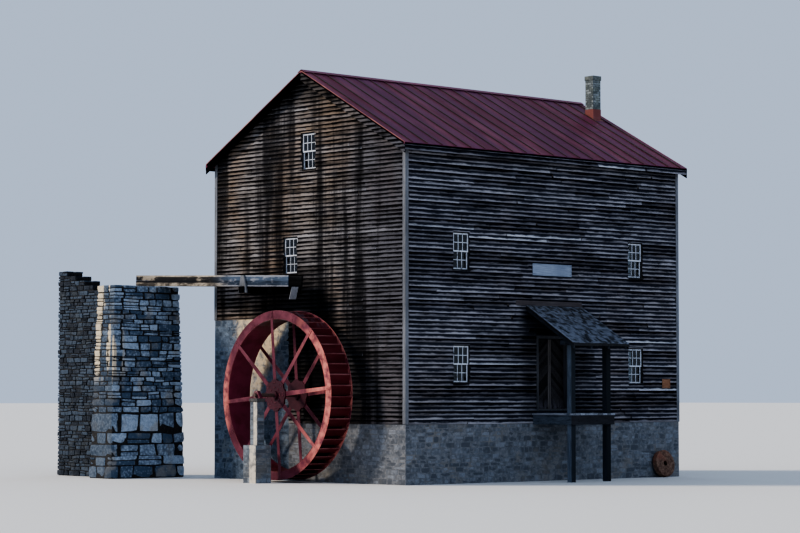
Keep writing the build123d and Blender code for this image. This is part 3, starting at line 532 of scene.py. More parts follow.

# Clapboards. Sawn boards with one thick edge, never painted, nailed up in courses from the
# foundation to the eaves, each over the one below. They have gone nearly black, and their
# lower edges are pale, partly faded to silver and tan and partly painted highlight. Their
# finish also paints sunlight and shade on the walls.

course_count = 66
board_lap = 0.026
board_thickness = 0.017
board_lengths = (1.1, 4.9)
board_gap = 0.003
board_kinds = 5
board_cuts = (-0.3, -0.1, 0.1, 0.3)
board_waviness = 0.035
board_taper = 0.25
same_point = 1e-5
board_tilt = radians(4.4)
board_stand = 0.006
board_play = 0.003
board_drop = 0.0035
board_swing = 0.0016
full_board = 0.9
long_board = 0.5
least_board = 0.02
course_height = (mill_high.z - siding_foot) / course_count
wall_top_gap = 0.015
trim_gap = 0.012
peak_gap = 0.04
slope_overlap = 0.05
axle_clear = 0.21
corner_width = 0.110
# Middle and squash of the wheel's painted shadow on the gable.
wheel_shadow_middle = (-0.5, 4.4)
wheel_shadow_squash = 0.78
lean_to_low, lean_to_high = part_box("porch_roof")
deck_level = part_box("deck_planks")[1].z
door_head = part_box("door_frame")[1].z
peak_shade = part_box("wheel_gable_wall")[1].z - 0.85


def split_box(node):
    """The lowest and highest corner of each separate solid of a CAD piece, in order."""
    shape = bmesh.new()
    shape.from_mesh(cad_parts[node].data)
    bmesh.ops.remove_doubles(shape, verts=shape.verts, dist=same_point)
    left, boxes = set(shape.verts), []
    while left:
        found = [left.pop()]
        for vertex in found:
            for edge in vertex.link_edges:
                other = edge.other_vert(vertex)
                if other in left:
                    left.remove(other)
                    found.append(other)
        places = np.array([vertex.co[:] for vertex in found])
        boxes.append((Vector(places.min(0)), Vector(places.max(0))))
    shape.free()
    return sorted(boxes, key=lambda box: box[0][:])


def seen_on(face, box):
    """A box as left, right, bottom and top on a wall's face."""
    inverse = face.inverted()
    ends = sorted((inverse @ corner).x for corner in box)
    return ends[0], ends[1], box[0].z, box[1].z


def sawn_board(seed):
    """A clapboard one unit long and high: thick below, thin above, and a little uneven."""
    board = unit_block()
    for cut in board_cuts:
        edit(board, lambda: bpy.ops.mesh.bisect(plane_co=(cut, 0, 0), plane_no=(1, 0, 0)))
    edit(board, lambda: bpy.ops.transform.vertex_random(offset=board_waviness, seed=seed))
    for vertex in board.data.vertices:
        if vertex.co.z > 0:
            vertex.co.y *= board_taper
    return board


def courses(face, left, right, bottom, top, openings):
    """The boards of one wall, cut round its openings, as places for a board pattern."""
    places = []
    for number in range(int((top - bottom) / course_height + 1.001)):
        low = bottom + number * course_height
        high = min(low + course_height, top)
        if high - low < least_board:
            continue
        near = [hole for hole in openings
                if hole[2] < high and hole[3] > low and hole[1] > left and hole[0] < right]
        edges = {min(max(edge, left), right) for hole in near for edge in hole[:2]}
        breaks = sorted({left, right} | edges)
        for start, end in zip(breaks, breaks[1:]):
            middle = (start + end) / 2
            across = [hole for hole in near if hole[0] < middle < hole[1]]
            spans = [(low, high)]
            if across:
                spans = [(low, min(hole[2] for hole in across)),
                         (max(hole[3] for hole in across), high)]
            for foot, head in spans:
                if head - foot < least_board:
                    continue
                for here, there in steps_between(start, end, *board_lengths):
                    places.append(board_place(face, here, there, foot, head))
    return places


def clad(places):
    """Clapboards of a few kinds, each nailed up in its place."""
    return laid([sawn_board(seed) for seed in range(board_kinds)], places)


def board_place(face, start, end, foot, head):
    """Where one clapboard goes: its top tucked in, its foot out over the board below."""
    full = head - foot > full_board * course_height
    height = head - foot + (board_lap if full else 0)
    drop = random.gauss(0, board_drop) if full else 0
    swing = random.gauss(0, board_swing) if end - start > long_board else 0
    outer = -board_stand - random.uniform(0, board_play)
    return (face @ at((start + end) / 2, outer, foot + drop + height / 2)
            @ turned(swing, "Y") @ turned(-board_tilt, "X")
            @ sized(end - start - board_gap, board_thickness, height))


wood_grain, given, result = shader_group(
    "wood grain",
    {"Place": Vector((0, 0, 0)), "Fibre": Vector((2, 2, 60)), "Tone": 0.5,
     "Dark": (0.05, 0.05, 0.05, 1), "Light": (0.3, 0.3, 0.3, 1)},
    {"Color": tuple, "Height": float},
)
along = stretched(given["Place"], given["Fibre"])
streak = mottle(along, 1.0, 7, 0.66, 0.25)
strand = mottle(along, 3.7, 3, 0.6)
blotch = mottle(given["Place"], 0.8, 4, 0.55)
shade = streak * 0.5 + blotch * 0.3
shade = shade + given["Tone"] * 0.34
colour = blend(band(shade, 0.36, 0.78), given["Dark"], given["Light"])
crack = band(strand, 0.33, 0.43)
colour = blend(band(crack, 0, 1, 0.6, 0), colour, given["Dark"])
feed(result["Color"], colour)
feed(result["Height"], streak * 0.5 + crack * 0.5)


def wood_finish(name, dark, light, fibre, depth, tone=0.4, gloss=0.25):
    """Bare weathered wood, its grain drawn out along the length of the piece. Without a tone
    each board has its own."""
    material, shader, place = start_finish(name, gloss=gloss)
    surface = use_group(wood_grain, place, Fibre=fibre, Dark=dark, Light=light,
                        Tone=own(place, "tone") if tone is None else tone)
    feed(shader["Base Color"], surface["Color"])
    feed(shader["Roughness"], band(surface["Height"], 0.3, 0.8, 0.95, 0.72))
    relief(shader, surface["Height"], depth)
    return material


along_any_wall = (1.6, 1.6, 75)
upright = (55, 55, 1.6)
board_finish, shader, place = start_finish("weathered_clapboard", roughness=0.85, gloss=0.05)
tone = own(place, "tone")
sunny = band(facing(place, "Y"), -0.6, -0.9)
wander = mottle(place, (1.7, 1.7, 8), 5, 0.68) * 1.1
# The pale lower edge of each board is partly faded wood and partly a painted highlight, and on faces
# towards -Y it is wider, as painted sunlight.
height = own(place, "rise") + 0.55 - wander
height = height - sunny * 0.12
bleach_and_highlight = band(height, 0.48, 0.1)
runs = band(mottle(place, (0.5, 0.5, 7.5), 5, 0.62), 0.26, 0.56, 0.28, 1)
bleach_and_highlight = bleach_and_highlight * runs
# Dark vertical bands on faces towards -Y are painted tree shadows.
tree_shadow_streaks = mottle(place, (1.25, 1.25, 0.1), 4, 0.6)
painted_tree_shadows = sunny * band(tree_shadow_streaks, 0.42, 0.6, 0.1, 0.86)
bleach_and_highlight = bleach_and_highlight * (1 - painted_tree_shadows)
# Round the wheel and under the flume's end the pale edges fade, as the painted shadow of the wheel and
# the flume.
wheel_shadow_heart = (wheel_shadow_middle[0], mill_low.y, wheel_shadow_middle[1] * wheel_shadow_squash)
from_wheel = add_node(place.tree, "VectorMath",
                      {0: stretched(place, (1, 1, wheel_shadow_squash)), 1: wheel_shadow_heart}, "Value",
                      operation="DISTANCE")
wheel_shadow_reach = from_wheel + wander * 0.6
bleach_and_highlight = bleach_and_highlight * band(wheel_shadow_reach, 1.7, 2.7, 0.16, 1)
across, inward, up = axes_of(place)
# Under and beside the porch roof the pale edges fade, as painted shade.
porch_roof_shade = band(up, door_head - 0.3, door_head + 0.1, 0.5, 0.92)
for part, out, full in (
    (inward, lean_to_low.y - 0.45, lean_to_low.y + 0.05),
    (inward, lean_to_high.y + 0.80, lean_to_high.y + 0.10),
    (up, lean_to_high.z + 0.02, lean_to_high.z - 0.08),
    (up, deck_level - 0.3, deck_level),
    (across, mill_high.x - 0.3, mill_high.x - 0.1),
):
    porch_roof_shade = porch_roof_shade * band(part, out, full)
bleach_and_highlight = bleach_and_highlight * (1 - porch_roof_shade)
# Near the gable's peak the pale edges fade, as painted shade under the roof's overhang.
peak_overhang_shade = sunny * band(up, peak_shade - 0.25, peak_shade + 0.25, 0, 0.62)
bleach_and_highlight = bleach_and_highlight * (1 - peak_overhang_shade)
black_wood = use_group(wood_grain, place, Fibre=along_any_wall, Tone=tone,
                       Dark=(0.0008, 0.0014, 0.0040), Light=(0.024, 0.028, 0.040))
shaded_face = blend(sunny * 0.75, black_wood["Color"], (0.0015, 0.0014, 0.0016))
silver_wood = use_group(wood_grain, place, Fibre=along_any_wall, Tone=tone,
                        Dark=(0.100, 0.102, 0.122), Light=(0.375, 0.375, 0.415))
# On faces towards -Y the silver is warmed, as painted sunlight.
sunlit_silver = blend(sunny * 0.6, silver_wood["Color"], (0.275, 0.252, 0.232))
# Tan patches are partly the wood's tone and partly painted patches of sunlight, stronger on faces
# towards -Y.
tan_and_sunlit_patches = band(mottle(place, (0.55, 0.55, 0.22), 3, 0.5), 0.44, 0.66)
tan_and_sunlit_patches = tan_and_sunlit_patches * (0.15 + sunny * 0.45)
silver = blend(tan_and_sunlit_patches, sunlit_silver, (0.27, 0.19, 0.125))
# The right part of the gable is painted darker and bluer, as shade.
dulled = sunny * band(across, 0.8, 3.6, 0, 0.7)
silver = blend(dulled, silver, (0.072, 0.08, 0.108))
fresh = band(tone, 0.962, 0.972, 0, 0.7) * (1 - sunny * 0.8)
silver = blend(fresh, silver, (0.6, 0.62, 0.68))
feed(shader["Base Color"], blend(bleach_and_highlight, shaded_face, silver))
relief(shader, black_wood["Height"], 0.004)

windows = {
    "porch_side": (porch_side, split_box("windows_porch_side")),
    "pier_side": (pier_side, split_box("windows_pier_side")),
    "wheel_side": (wheel_side, split_box("windows_wheel_side")),
    "rear": (rear_side, split_box("windows_rear")),
}
window_width = 0.710
window_height = 1.170


def holes(side):
    """The window holes of one wall, without the ears of their sills."""
    face, boxes = windows[side]
    found = []
    for box in boxes:
        left, right, bottom, top = seen_on(face, box)
        middle = (left + right) / 2
        ends = middle - window_width / 2, middle + window_width / 2
        found.append((*ends, bottom, bottom + window_height))
    return found


ridge_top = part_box("wheel_gable_wall")[1].z
roof_slope = (ridge_top - mill_high.z) / mill_high.x
door_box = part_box("door_frame")
door_hole = seen_on(porch_side, door_box)
wall_left, wall_right = mill_low.x + corner_width, mill_high.x - corner_width
side_left, side_right = mill_low.y + corner_width, mill_high.y - corner_width
wall_head = mill_high.z - wall_top_gap


def gable_boards(side, openings):
    """A gable's boards: full courses to the eaves, then shorter ones up to the ridge."""
    face, gaps = windows[side][0], holes(side)
    places = courses(face, wall_left, wall_right, siding_foot, mill_high.z, gaps + openings)
    level = mill_high.z
    while level < ridge_top - peak_gap:
        half = min((ridge_top - level) / roof_slope + slope_overlap, mill_high.x)
        places += courses(face, -half, half, level, min(level + course_height, ridge_top), gaps)
        level += course_height
    return places


storey_front = (storey_low.x, storey_high.x, 0, storey_high.z)
storey_return = (-storey_high.y, -storey_low.y, 0, storey_high.z)
bearing_low, bearing_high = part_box("wall_bearing")
axle_hole = (-axle_clear, axle_clear, bearing_low.z, bearing_high.z)
for side, openings in (("wheel_side", [storey_front, axle_hole]), ("rear", [])):
    boards = clad(gable_boards(side, openings))
    for way in (-1, 1):
        slant = Vector((way * roof_slope, 0, 1)).normalized()
        cut_off(boards, (0, mill_low.y, ridge_top - trim_gap), slant)
    finished(boards, f"clapboards_{side}", "mill", "clapboard", board_finish)
for side, ends, opening in (("porch_side", (side_left, side_right), door_hole),
                            ("pier_side", (-side_right, -side_left), storey_return)):
    places = courses(windows[side][0], *ends, siding_foot, wall_head, holes(side) + [opening])
    finished(clad(places), f"clapboards_{side}", "mill", "clapboard", board_finish)

sheathing_finish = wood_finish("wall_sheathing", (0.03, 0.025, 0.02), (0.1, 0.08, 0.06),
                               along_any_wall, 0.003)
coat(sheathing_finish, "wheel_gable_wall", "rear_gable_wall", "porch_wall_near", "porch_wall_far",
     "porch_wall_over_door", "porch_wall_under_door", "pier_side_wall")

# Corner boards. A pair of flat boards at each corner of the timber walls, nailed over the
# ends of the clapboards. They have gone silver and stand out from the black boards.

corner_ease = 0.004
ease_sharpness = radians(30)


def worked_copy(name, body, slot, material, nodes, ease):
    """A copy of CAD pieces with their triangles merged into faces and their edges eased."""
    bpy.ops.object.select_all(action="DESELECT")
    for node in nodes:
        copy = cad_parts[node].copy()
        copy.data = copy.data.copy()
        bpy.context.scene.collection.objects.link(copy)
        copy.select_set(True)
        bpy.context.view_layer.objects.active = copy
    if len(nodes) > 1:
        bpy.ops.object.join()
    piece = bpy.context.view_layer.objects.active
    edit(
        piece,
        lambda: bpy.ops.mesh.remove_doubles(threshold=same_point),
        lambda: bpy.ops.mesh.dissolve_limited(angle_limit=radians(1)),
        lambda: bpy.ops.mesh.select_all(action="DESELECT"),
        lambda: bpy.ops.mesh.edges_select_sharp(sharpness=ease_sharpness),
        lambda: bpy.ops.mesh.bevel(offset=ease, segments=1, affect="EDGES"),
    )
    return finished(piece, name, body, slot, material, *nodes)


trim_finish = wood_finish("silver_trim", (0.055, 0.061, 0.072), (0.245, 0.262, 0.295), upright, 0.003,
                          0.5)
worked_copy("corner_boards_eased", "mill", "trim_wood", trim_finish, ["corner_boards"], corner_ease)

# Floors. Rough planks on heavy cross beams, let into the walls. They are seen only through
# the panes and the doorway.

floor_finish = wood_finish("floor_boards", (0.05, 0.038, 0.026), (0.17, 0.135, 0.1), (60, 2, 60), 0.003)
coat(floor_finish, "first_floor", "second_floor", "attic_floor")

# Windows. Six panes over six in two sashes, puttied into bars a thumb wide and painted
# white long ago, in a frame of dark boards with a thin sill. One window is made, and set
# in every window hole.

frame_face = 0.035
frame_depth = (0.020, 0.150)
sill_reach = (-0.028, 0.020)
sill_half = 0.390
sash_face = 0.042
sash_depth = 0.040
bar_face = 0.021
bar_inset = 0.004
sill_step = 0.005
sash_set = 0.020
pane_columns = 3
window_ease = 0.003


def joined(pieces):
    """Several pieces as one."""
    bpy.ops.object.select_all(action="DESELECT")
    for piece in pieces:
        piece.select_set(True)
    bpy.context.view_layer.objects.active = pieces[0]
    bpy.ops.object.join()
    return bpy.context.object


def bar(left, right, foot, head, outer, inner):
    """One squared piece of a window, between its sides, its ends and its faces."""
    return block((left, outer, foot), (right, inner, head), window_ease)


def window_frame():
    """Jambs, head, foot and sill, about the middle of the sill's underside."""
    half, face = window_width / 2, frame_face
    return joined([
        bar(-half, face - half, face, window_height, *frame_depth),
        bar(half - face, half, face, window_height, *frame_depth),
        bar(face - half, half - face, window_height - face, window_height, *frame_depth),
        bar(-half, half, 0, face, *frame_depth),
        bar(-sill_half, sill_half, 0, face - sill_step, *sill_reach),
    ])


def sash(bottom, top, outer):
    """One sash: stiles, rails and bars."""
    half, face = window_width / 2 - frame_face, sash_face
    depth, thin = (outer, outer + sash_depth), (outer + bar_inset, outer + sash_depth - bar_inset)
    parts = [
        bar(-half, face - half, bottom, top, *depth),
        bar(half - face, half, bottom, top, *depth),
        bar(face - half, half - face, bottom, bottom + face, *depth),
        bar(face - half, half - face, top - face, top, *depth),
    ]
    for column in range(1, pane_columns):
        middle = face - half + 2 * (half - face) * column / pane_columns
        near, far = middle - bar_face / 2, middle + bar_face / 2
        parts.append(bar(near, far, bottom + face, top - face, *thin))
    middle = (bottom + top) / 2
    parts.append(bar(face - half, half - face, middle - bar_face / 2, middle + bar_face / 2, *thin))
    return joined(parts)


window_places = []
for face, boxes in windows.values():
    for box in boxes:
        left, right, bottom, top = seen_on(face, box)
        window_places.append(face @ at((left + right) / 2, 0, bottom))
meeting_rail, sash_outer = window_height / 2, frame_depth[0] + sash_set
upper_sash = sash(meeting_rail - sash_face / 2, window_height - frame_face, sash_outer)
lower_sash = sash(frame_face, meeting_rail + sash_face / 2, sash_outer + sash_depth)
window_sashes = laid([joined([upper_sash, lower_sash])], window_places)
window_frames = laid([window_frame()], window_places)

dark_wood = wood_finish("dark_frame_wood", (0.006, 0.007, 0.009), (0.050, 0.052, 0.058), upright, 0.003)
old_white, shader, place = start_finish("old_white_paint", roughness=0.62)
worn = band(mottle(place, (9, 9, 5), 6, 0.68), 0.34, 0.47)
bare = use_group(wood_grain, place, Fibre=upright, Tone=0.5,
                 Dark=(0.10, 0.10, 0.11), Light=(0.34, 0.34, 0.35))
feed(shader["Base Color"], blend(worn, bare["Color"], (0.57, 0.61, 0.68)))
relief(shader, worn, 0.0015)
finished(window_sashes, "window_sashes", "mill", "sash_white", old_white)
finished(window_frames, "window_frames", "mill", "dark_frame", dark_wood,
         "windows_porch_side", "windows_pier_side", "windows_wheel_side", "windows_rear")

pane_glass, shader, place = start_finish("old_window_glass", roughness=0.03)
feed(shader["Base Color"], (0.30, 0.34, 0.36))
feed(shader["Transmission Weight"], 1.0)
relief(shader, mottle(place, 5.0, 1, 0.4), 0.0006)
coat(pane_glass, "window_panes")

# Doorway. A plain frame of heavy boards holds a pair of ledged leaves, each faced with
# narrow boards laid aslant, so that they fall away from the bare strip where they meet.

chevron_width = 0.100
chevron_thickness = 0.008
chevron_gap = 0.006
chevron_slope = radians(42)
leaf_margin = 0.012
strip_width = 0.055
strip_cover = 0.003
strip_gap = 0.001
strip_ease = 0.002
chevron_reach = 3.0
chevron_spread = 1.2
casing_ease = 0.004
leaf_face = 4.417
tread_depth = 0.140
tread_inset = 0.050
tread_top = 2.2345
tread_thickness = 0.006
tread_nose = 0.002

door_finish = wood_finish("door_boards", (0.003, 0.003, 0.005), (0.04, 0.038, 0.041), (18, 18, 18),
                          0.003, None)
place, across, inward, up = parts_of(door_finish)
washed(door_finish, band(up, 2.62, 2.26) * band(mottle(place, (9, 9, 3), 5, 0.6), 0.36, 0.6),
       (0.09, 0.085, 0.105))
strip_finish = wood_finish("door_strip", (0.060, 0.057, 0.060), (0.250, 0.235, 0.230), upright, 0.003)
tread_finish = wood_finish("worn_tread", (0.14, 0.135, 0.13), (0.42, 0.405, 0.385), (45, 2, 45), 0.003)
casing_finish = wood_finish("door_casing", (0.018, 0.020, 0.026), (0.120, 0.128, 0.145), upright, 0.003)
worked_copy("door_frame_eased", "mill", "dark_frame", casing_finish, ["door_frame"], casing_ease)
tread = block((mill_high.x - tread_depth, door_hole[0] + tread_inset, tread_top - tread_thickness),
              (door_box[1].x + tread_nose, door_hole[1] - tread_inset, tread_top), tread_thickness / 4)
finished(tread, "door_tread", "mill", "deck_wood", tread_finish)
for leaf, body, direction in (("door_leaf_near", "door_near", 1), ("door_leaf_far", "door_far", -1)):
    coat(door_finish, leaf)
    low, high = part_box(leaf)
    hinge_y, meeting_y = (low.y, high.y)[::direction]
    start = hinge_y + direction * leaf_margin
    end = meeting_y - direction * (strip_width + leaf_margin)
    near, far = sorted((start, end))
    foot, head = low.z + leaf_margin, high.z - leaf_margin
    middle_y, middle_z = (near + far) / 2, (foot + head) / 2
    reach = int((head - foot) / chevron_width / chevron_spread)
    places = [
        at(leaf_face, middle_y, middle_z) @ turned(pi / 2, "Z")
        @ turned(-direction * chevron_slope, "Y")
        @ at(0, -chevron_thickness / 2, number * chevron_width)
        @ sized(chevron_reach, chevron_thickness, chevron_width - chevron_gap)
        for number in range(-reach, reach + 1)
    ]
    boards = laid([unit_block(0.02)], places)
    for point, outward in (((0, near, 0), (0, -1, 0)), ((0, far, 0), (0, 1, 0)),
                           ((0, 0, foot), (0, 0, -1)), ((0, 0, head), (0, 0, 1))):
        cut_off(boards, point, outward)
    finished(boards, f"{body}_boards", body, "door_wood", door_finish)
    inner, outer = sorted((meeting_y - direction * strip_width, meeting_y))
    strip = block((high.x - strip_cover, inner + strip_gap, foot),
                  (high.x + strip_cover, outer - strip_gap, head), strip_ease)
    finished(strip, f"{body}_strip", body, "door_wood", strip_finish)

# Roof. Sheets painted maroon and folded together in standing seams from ridge to eave, over
# boards. The paint has dulled and run unevenly, and the seams are painted near black as shade.

roof_low, roof_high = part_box("roof_porch_side")
roof_pitch = radians(28.4)
roof_surface = 12.757
seam_rise = 0.0318
seam_spacing = 0.600
seam_count = 21
fold_width = 0.040
fold_foot = 0.001
slope_length = roof_high.x / cos(roof_pitch)
roof_middle = (roof_low.y + roof_high.y) / 2
lap_height = 0.003
lap_width = 0.016
lap_reach = (0.9, 4.4)
fold_ends = (0.16, 0.02)
lap_end = 0.010
chimney_clear = 0.7


def on_slope(x, y, z, turn, pitch):
    """A frame on a roof: down the slope, along the ridge and off the surface."""
    return at(x, y, z) @ turned(turn, "Z") @ turned(pitch, "Y")


def slab_place(face, start, end, low, high):
    """A unit block stretched between two corners in a face."""
    size = [end[axis] - start[axis] for axis in (0, 1)]
    middle = [(end[axis] + start[axis]) / 2 for axis in (0, 1)]
    return face @ at(*middle, (low + high) / 2) @ sized(*size, high - low)


folds, laps = [], []
for turn in (0, pi):
    face = on_slope(0, roof_middle, roof_surface, turn, roof_pitch)
    seam_top = seam_rise * cos(roof_pitch) + fold_foot
    for number in range(seam_count):
        seam_y = (number - (seam_count - 1) / 2) * seam_spacing
        folds.append(slab_place(face, (fold_ends[0], seam_y - fold_width / 2),
                                (slope_length - fold_ends[1], seam_y + fold_width / 2),
                                fold_foot, seam_top))
        lap = random.uniform(*lap_reach)
        if number:
            laps.append(slab_place(face, (lap, seam_y - seam_spacing + lap_end),
                                   (lap + lap_width, seam_y - lap_end), 0, lap_height))
chimney_low, chimney_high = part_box("chimney")
laps = [place for place in laps
        if abs(place.translation.y - chimney_low.y) > chimney_clear or place.translation.x < 0]

paint_finish, given, result = shader_group(
    "painted metal",
    {"Place": Vector((0, 0, 0)), "Drawn": Vector((1, 1, 1)), "Wear": 0.5, "Paint": (0.2, 0.02, 0.02, 1),
     "Faded": (0.3, 0.1, 0.1, 1), "Rust": (0.08, 0.03, 0.02, 1)},
    {"Color": tuple, "Height": float, "Roughness": float},
)
drawn = stretched(given["Place"], given["Drawn"])
cloud = mottle(drawn, 0.9, 5, 0.6)
fine = mottle(drawn, 14, 5, 0.7)
fleck = mottle(given["Place"], 46, 4, 0.75)
colour = blend(band(cloud, 0.38, 0.66, 0, 0.85), given["Paint"], given["Faded"])
rusted = band(fine, 0.56, 0.7, 0, 0.8) + band(fleck, 0.62, 0.74, 0, 0.6)
rusted = rusted * given["Wear"]
colour = blend(band(rusted, 0, 1), colour, given["Rust"])
feed(result["Color"], colour)
feed(result["Height"], 1 - rusted)
feed(result["Roughness"], band(rusted, 0, 1, 0.46, 0.88))


def metal_finish(name, paint, faded, rust, drawn, wear, depth, edge=None, gloss=0.3):
    """Old paint on metal: faded in clouds, rusted in flecks, and pale at its edges, partly rubbed and
    partly painted highlight.
    """
    material, shader, place = start_finish(name, gloss=gloss)
    surface = use_group(paint_finish, place, Drawn=drawn, Wear=wear, Paint=paint, Faded=faded,
                        Rust=rust)
    colour = surface["Color"]
    if edge:
        colour = blend(edge_wear(place), colour, edge)
    feed(shader["Base Color"], colour)
    feed(shader["Roughness"], surface["Roughness"])
    relief(shader, surface["Height"], depth)
    return material


def edge_wear(place):
    """How far a point lies on a sharp edge, broken up by patches."""
    rounded = add_node(place.tree, "Bevel", {"Radius": 0.007}, samples=4)
    flat = add_node(place.tree, "NewGeometry", {}, "Normal")
    angle = add_node(place.tree, "VectorMath", {0: rounded, 1: flat}, "Value", operation="DOT_PRODUCT")
    return band(angle, 0.985, 0.90) * band(mottle(place, 6, 4, 0.6), 0.38, 0.6, 0.25, 1)


roof_paint = metal_finish("maroon_roof", (0.112, 0.017, 0.044), (0.210, 0.060, 0.100),
                          (0.045, 0.012, 0.022), (0.45, 1.6, 0.45), 0.5, 0.004, gloss=0.12)
place, across, inward, up = parts_of(roof_paint)
washed(roof_paint, band(mottle(place, (0.1, 1.9, 0.1), 1, 0.5), 0.44, 0.56, 0, 0.55),
       (0.098, 0.028, 0.084))
# The seam folds are painted near black, as shade along each seam.
seam_shade_paint = metal_finish("seam_shade_black", (0.007, 0.002, 0.004), (0.016, 0.005, 0.009),
                          (0.005, 0.002, 0.003), (0.45, 3, 0.45), 0.5, 0.002)
# The ridge cap is painted lighter than the roof, as a highlight.
lit_ridge_paint = metal_finish("lit_maroon_ridge", (0.130, 0.026, 0.058), (0.210, 0.055, 0.100),
                           (0.050, 0.014, 0.026), (1.6, 0.45, 1.6), 0.5, 0.002)
coat(roof_paint, "roof_porch_side", "roof_pier_side")
coat(lit_ridge_paint, "ridge_cap")
finished(laid([unit_block(0.08)], folds), "roof_seam_folds", "mill", "roof_metal", seam_shade_paint)
finished(laid([unit_block(0.05)], laps), "roof_sheet_laps", "mill", "roof_metal", roof_paint)

# Roof edges. Thin folded metal hems the rakes, and a dark board follows each rake and eave.
# On the sunlit rake and on both eaves the boards of the walls run up over it in short
# lengths, to the shadow under the metal.

edge_metal = 0.004
hem_depth = 0.024
hem_start = 0.010
slab_depth = 0.110
slab_ends = (0.060, 0.030)
eave_hem = 0.016
hidden_inset = 0.001
edge_ease = 0.004
rake_board_depth = 0.200
eave_board_depth = 0.090
shadow_line = 0.040
edge_low, edge_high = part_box("roof_boards")
roof_half = (roof_high.y - roof_low.y) / 2
eave_top = roof_surface - roof_high.x * tan(roof_pitch) - eave_hem

# The rake hems are painted pale pink, as sunlight on their edge.
sunlit_rake_paint = metal_finish("sunlit_rake_metal", (0.160, 0.045, 0.050), (0.380, 0.165, 0.140),
                          (0.050, 0.018, 0.020), (1.2, 1.2, 1.2), 0.9, 0.002)
shaded_wood = wood_finish("shaded_edge_boards", (0.0008, 0.0008, 0.0014), (0.004, 0.004, 0.006),
                          upright, 0.003, gloss=0)
worked_copy("roof_edge_boards", "mill", "dark_frame", shaded_wood, ["roof_boards"], edge_ease)
hems, shades, eave_boards = [], [], []
for turn, side in ((0, 1), (pi, -1)):
    face = on_slope(0, roof_middle, roof_surface, turn, roof_pitch)
    for inner, outer in ((edge_metal - roof_half, -roof_half - edge_metal),
                         (roof_half - hem_depth, roof_half - hidden_inset)):
        start, end = sorted((side * inner, side * outer))
        hems.append(slab_place(face, (hem_start, start), (slope_length, end), -hem_depth, edge_metal))
    start, end = sorted((side * (edge_metal - roof_half), side * (-roof_half - edge_metal / 2)))
    shades.append(slab_place(face, (slab_ends[0], start), (slope_length - slab_ends[1], end),
                             -slab_depth, -hem_depth))
    inner, outer = sorted((side * (roof_high.x - edge_metal), side * (roof_high.x + edge_metal)))
    shades.append(slab_place(Matrix(), (inner, roof_low.y), (outer, roof_high.y - hidden_inset),
                             roof_low.z, eave_top))
    ends = sorted((side * roof_low.y, side * (roof_high.y - board_lap)))
    eave_boards += courses(wall_face(side * roof_high.x, 0, side * pi / 2), *ends,
                           roof_low.z - eave_board_depth, eave_top - shadow_line, [])
finished(laid([unit_block(0.02)], hems), "roof_rake_metal", "mill", "roof_metal", sunlit_rake_paint)
finished(laid([unit_block(0.02)], shades), "roof_shaded_edges", "mill", "dark_frame", shaded_wood)
eave_cladding = clad(eave_boards)
for y, outward in ((roof_low.y, -1), (roof_high.y - board_lap, 1)):
    cut_off(eave_cladding, (0, y, 0), (0, outward, 0))
finished(eave_cladding, "roof_eave_clapboards", "mill", "clapboard", board_finish)
rake_face = wall_face(0, roof_low.y, 0)
rake_head = roof_surface - (hem_depth + shadow_line) / cos(roof_pitch)
rake_foot = edge_high.z - rake_board_depth
places = []
level = siding_foot + int((edge_low.z - siding_foot) / course_height) * course_height
while level < rake_head - shadow_line:
    inner = max(0, (rake_foot - level - course_height) / tan(roof_pitch))
    outer = min(roof_high.x, (rake_head - level) / tan(roof_pitch))
    places += courses(rake_face, inner, outer, level, level + course_height, [])
    level += course_height
rake_cladding = clad(places)
slant = Vector((tan(roof_pitch), 0, 1)).normalized()
cut_off(rake_cladding, (0, 0, rake_head), slant)
cut_off(rake_cladding, (0, 0, rake_foot), slant, outer=False)
finished(rake_cladding, "roof_rake_clapboards", "mill", "clapboard", board_finish)

# Chimney. A thin square stack of brick that lichen has turned grey-green, with a plain cap,
# and a collar of sheet painted orange-red where it comes through the roof.

brick_height = 0.0765
brick_length = 0.205
brick_joint = 0.011
brick_bed = 0.06
brick_proud = (0.002, 0.005)
brick_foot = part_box("chimney_flashing")[1].z
cap_height = 0.150
shaft_half = 0.185
least_brick = 0.03
brick_kinds = (4, 1, 0.06, 0.03)
stack_ease = 0.008
shaft_x, shaft_y = (chimney_low.x + chimney_high.x) / 2, (chimney_low.y + chimney_high.y) / 2

bricks = []
for x, y, turn in four_sides:
    face = wall_face(shaft_x + x * shaft_half, shaft_y + y * shaft_half, turn)
    level, number = brick_foot, 0
    while level + brick_height < chimney_high.z - cap_height:
        offset = brick_length / 2 if (number + abs(x)) % 2 else 0
        ends = [-shaft_half] + [cut for cut in (-brick_length + offset, offset, brick_length + offset)
                                if abs(cut) < shaft_half - least_brick] + [shaft_half]
        for start, end in zip(ends, ends[1:]):
            start, end = start + brick_joint / 2, end - brick_joint / 2
            low, high = level + brick_joint / 2, level + brick_height - brick_joint / 2
            bricks.append(stone_in(face, (start, low), (end, low), (end, high), (start, high),
                                   -random.uniform(*brick_proud), brick_bed))
        level += brick_height
        number += 1
brick_finish = stone_finish("lichen_brick", (0.075, 0.098, 0.105), (0.290, 0.335, 0.350),
                            (0.210, 0.245, 0.210), 3.5, 0.004)
stack_finish = stone_finish("chimney_mortar", (0.080, 0.098, 0.100), (0.230, 0.260, 0.260),
                            (0.170, 0.195, 0.165), 3.5, 0.004, 0.4)
flashing_paint = metal_finish("orange_flashing", (0.185, 0.052, 0.050), (0.235, 0.088, 0.088),
                              (0.08, 0.032, 0.030), (2, 2, 2), 0.7, 0.002)
finished(masonry(bricks, *brick_kinds), "chimney_bricks", "mill", "chimney_stone", brick_finish)
worked_copy("chimney_stack", "mill", "chimney_stone", stack_finish, ["chimney"], stack_ease)
coat(flashing_paint, "chimney_flashing")

# Loading deck. Posts from the ground carry a plate and a lean-to roof of split shakes, and
# between them a deck of thick planks lies on a box of beams. All of it is bare grey wood.

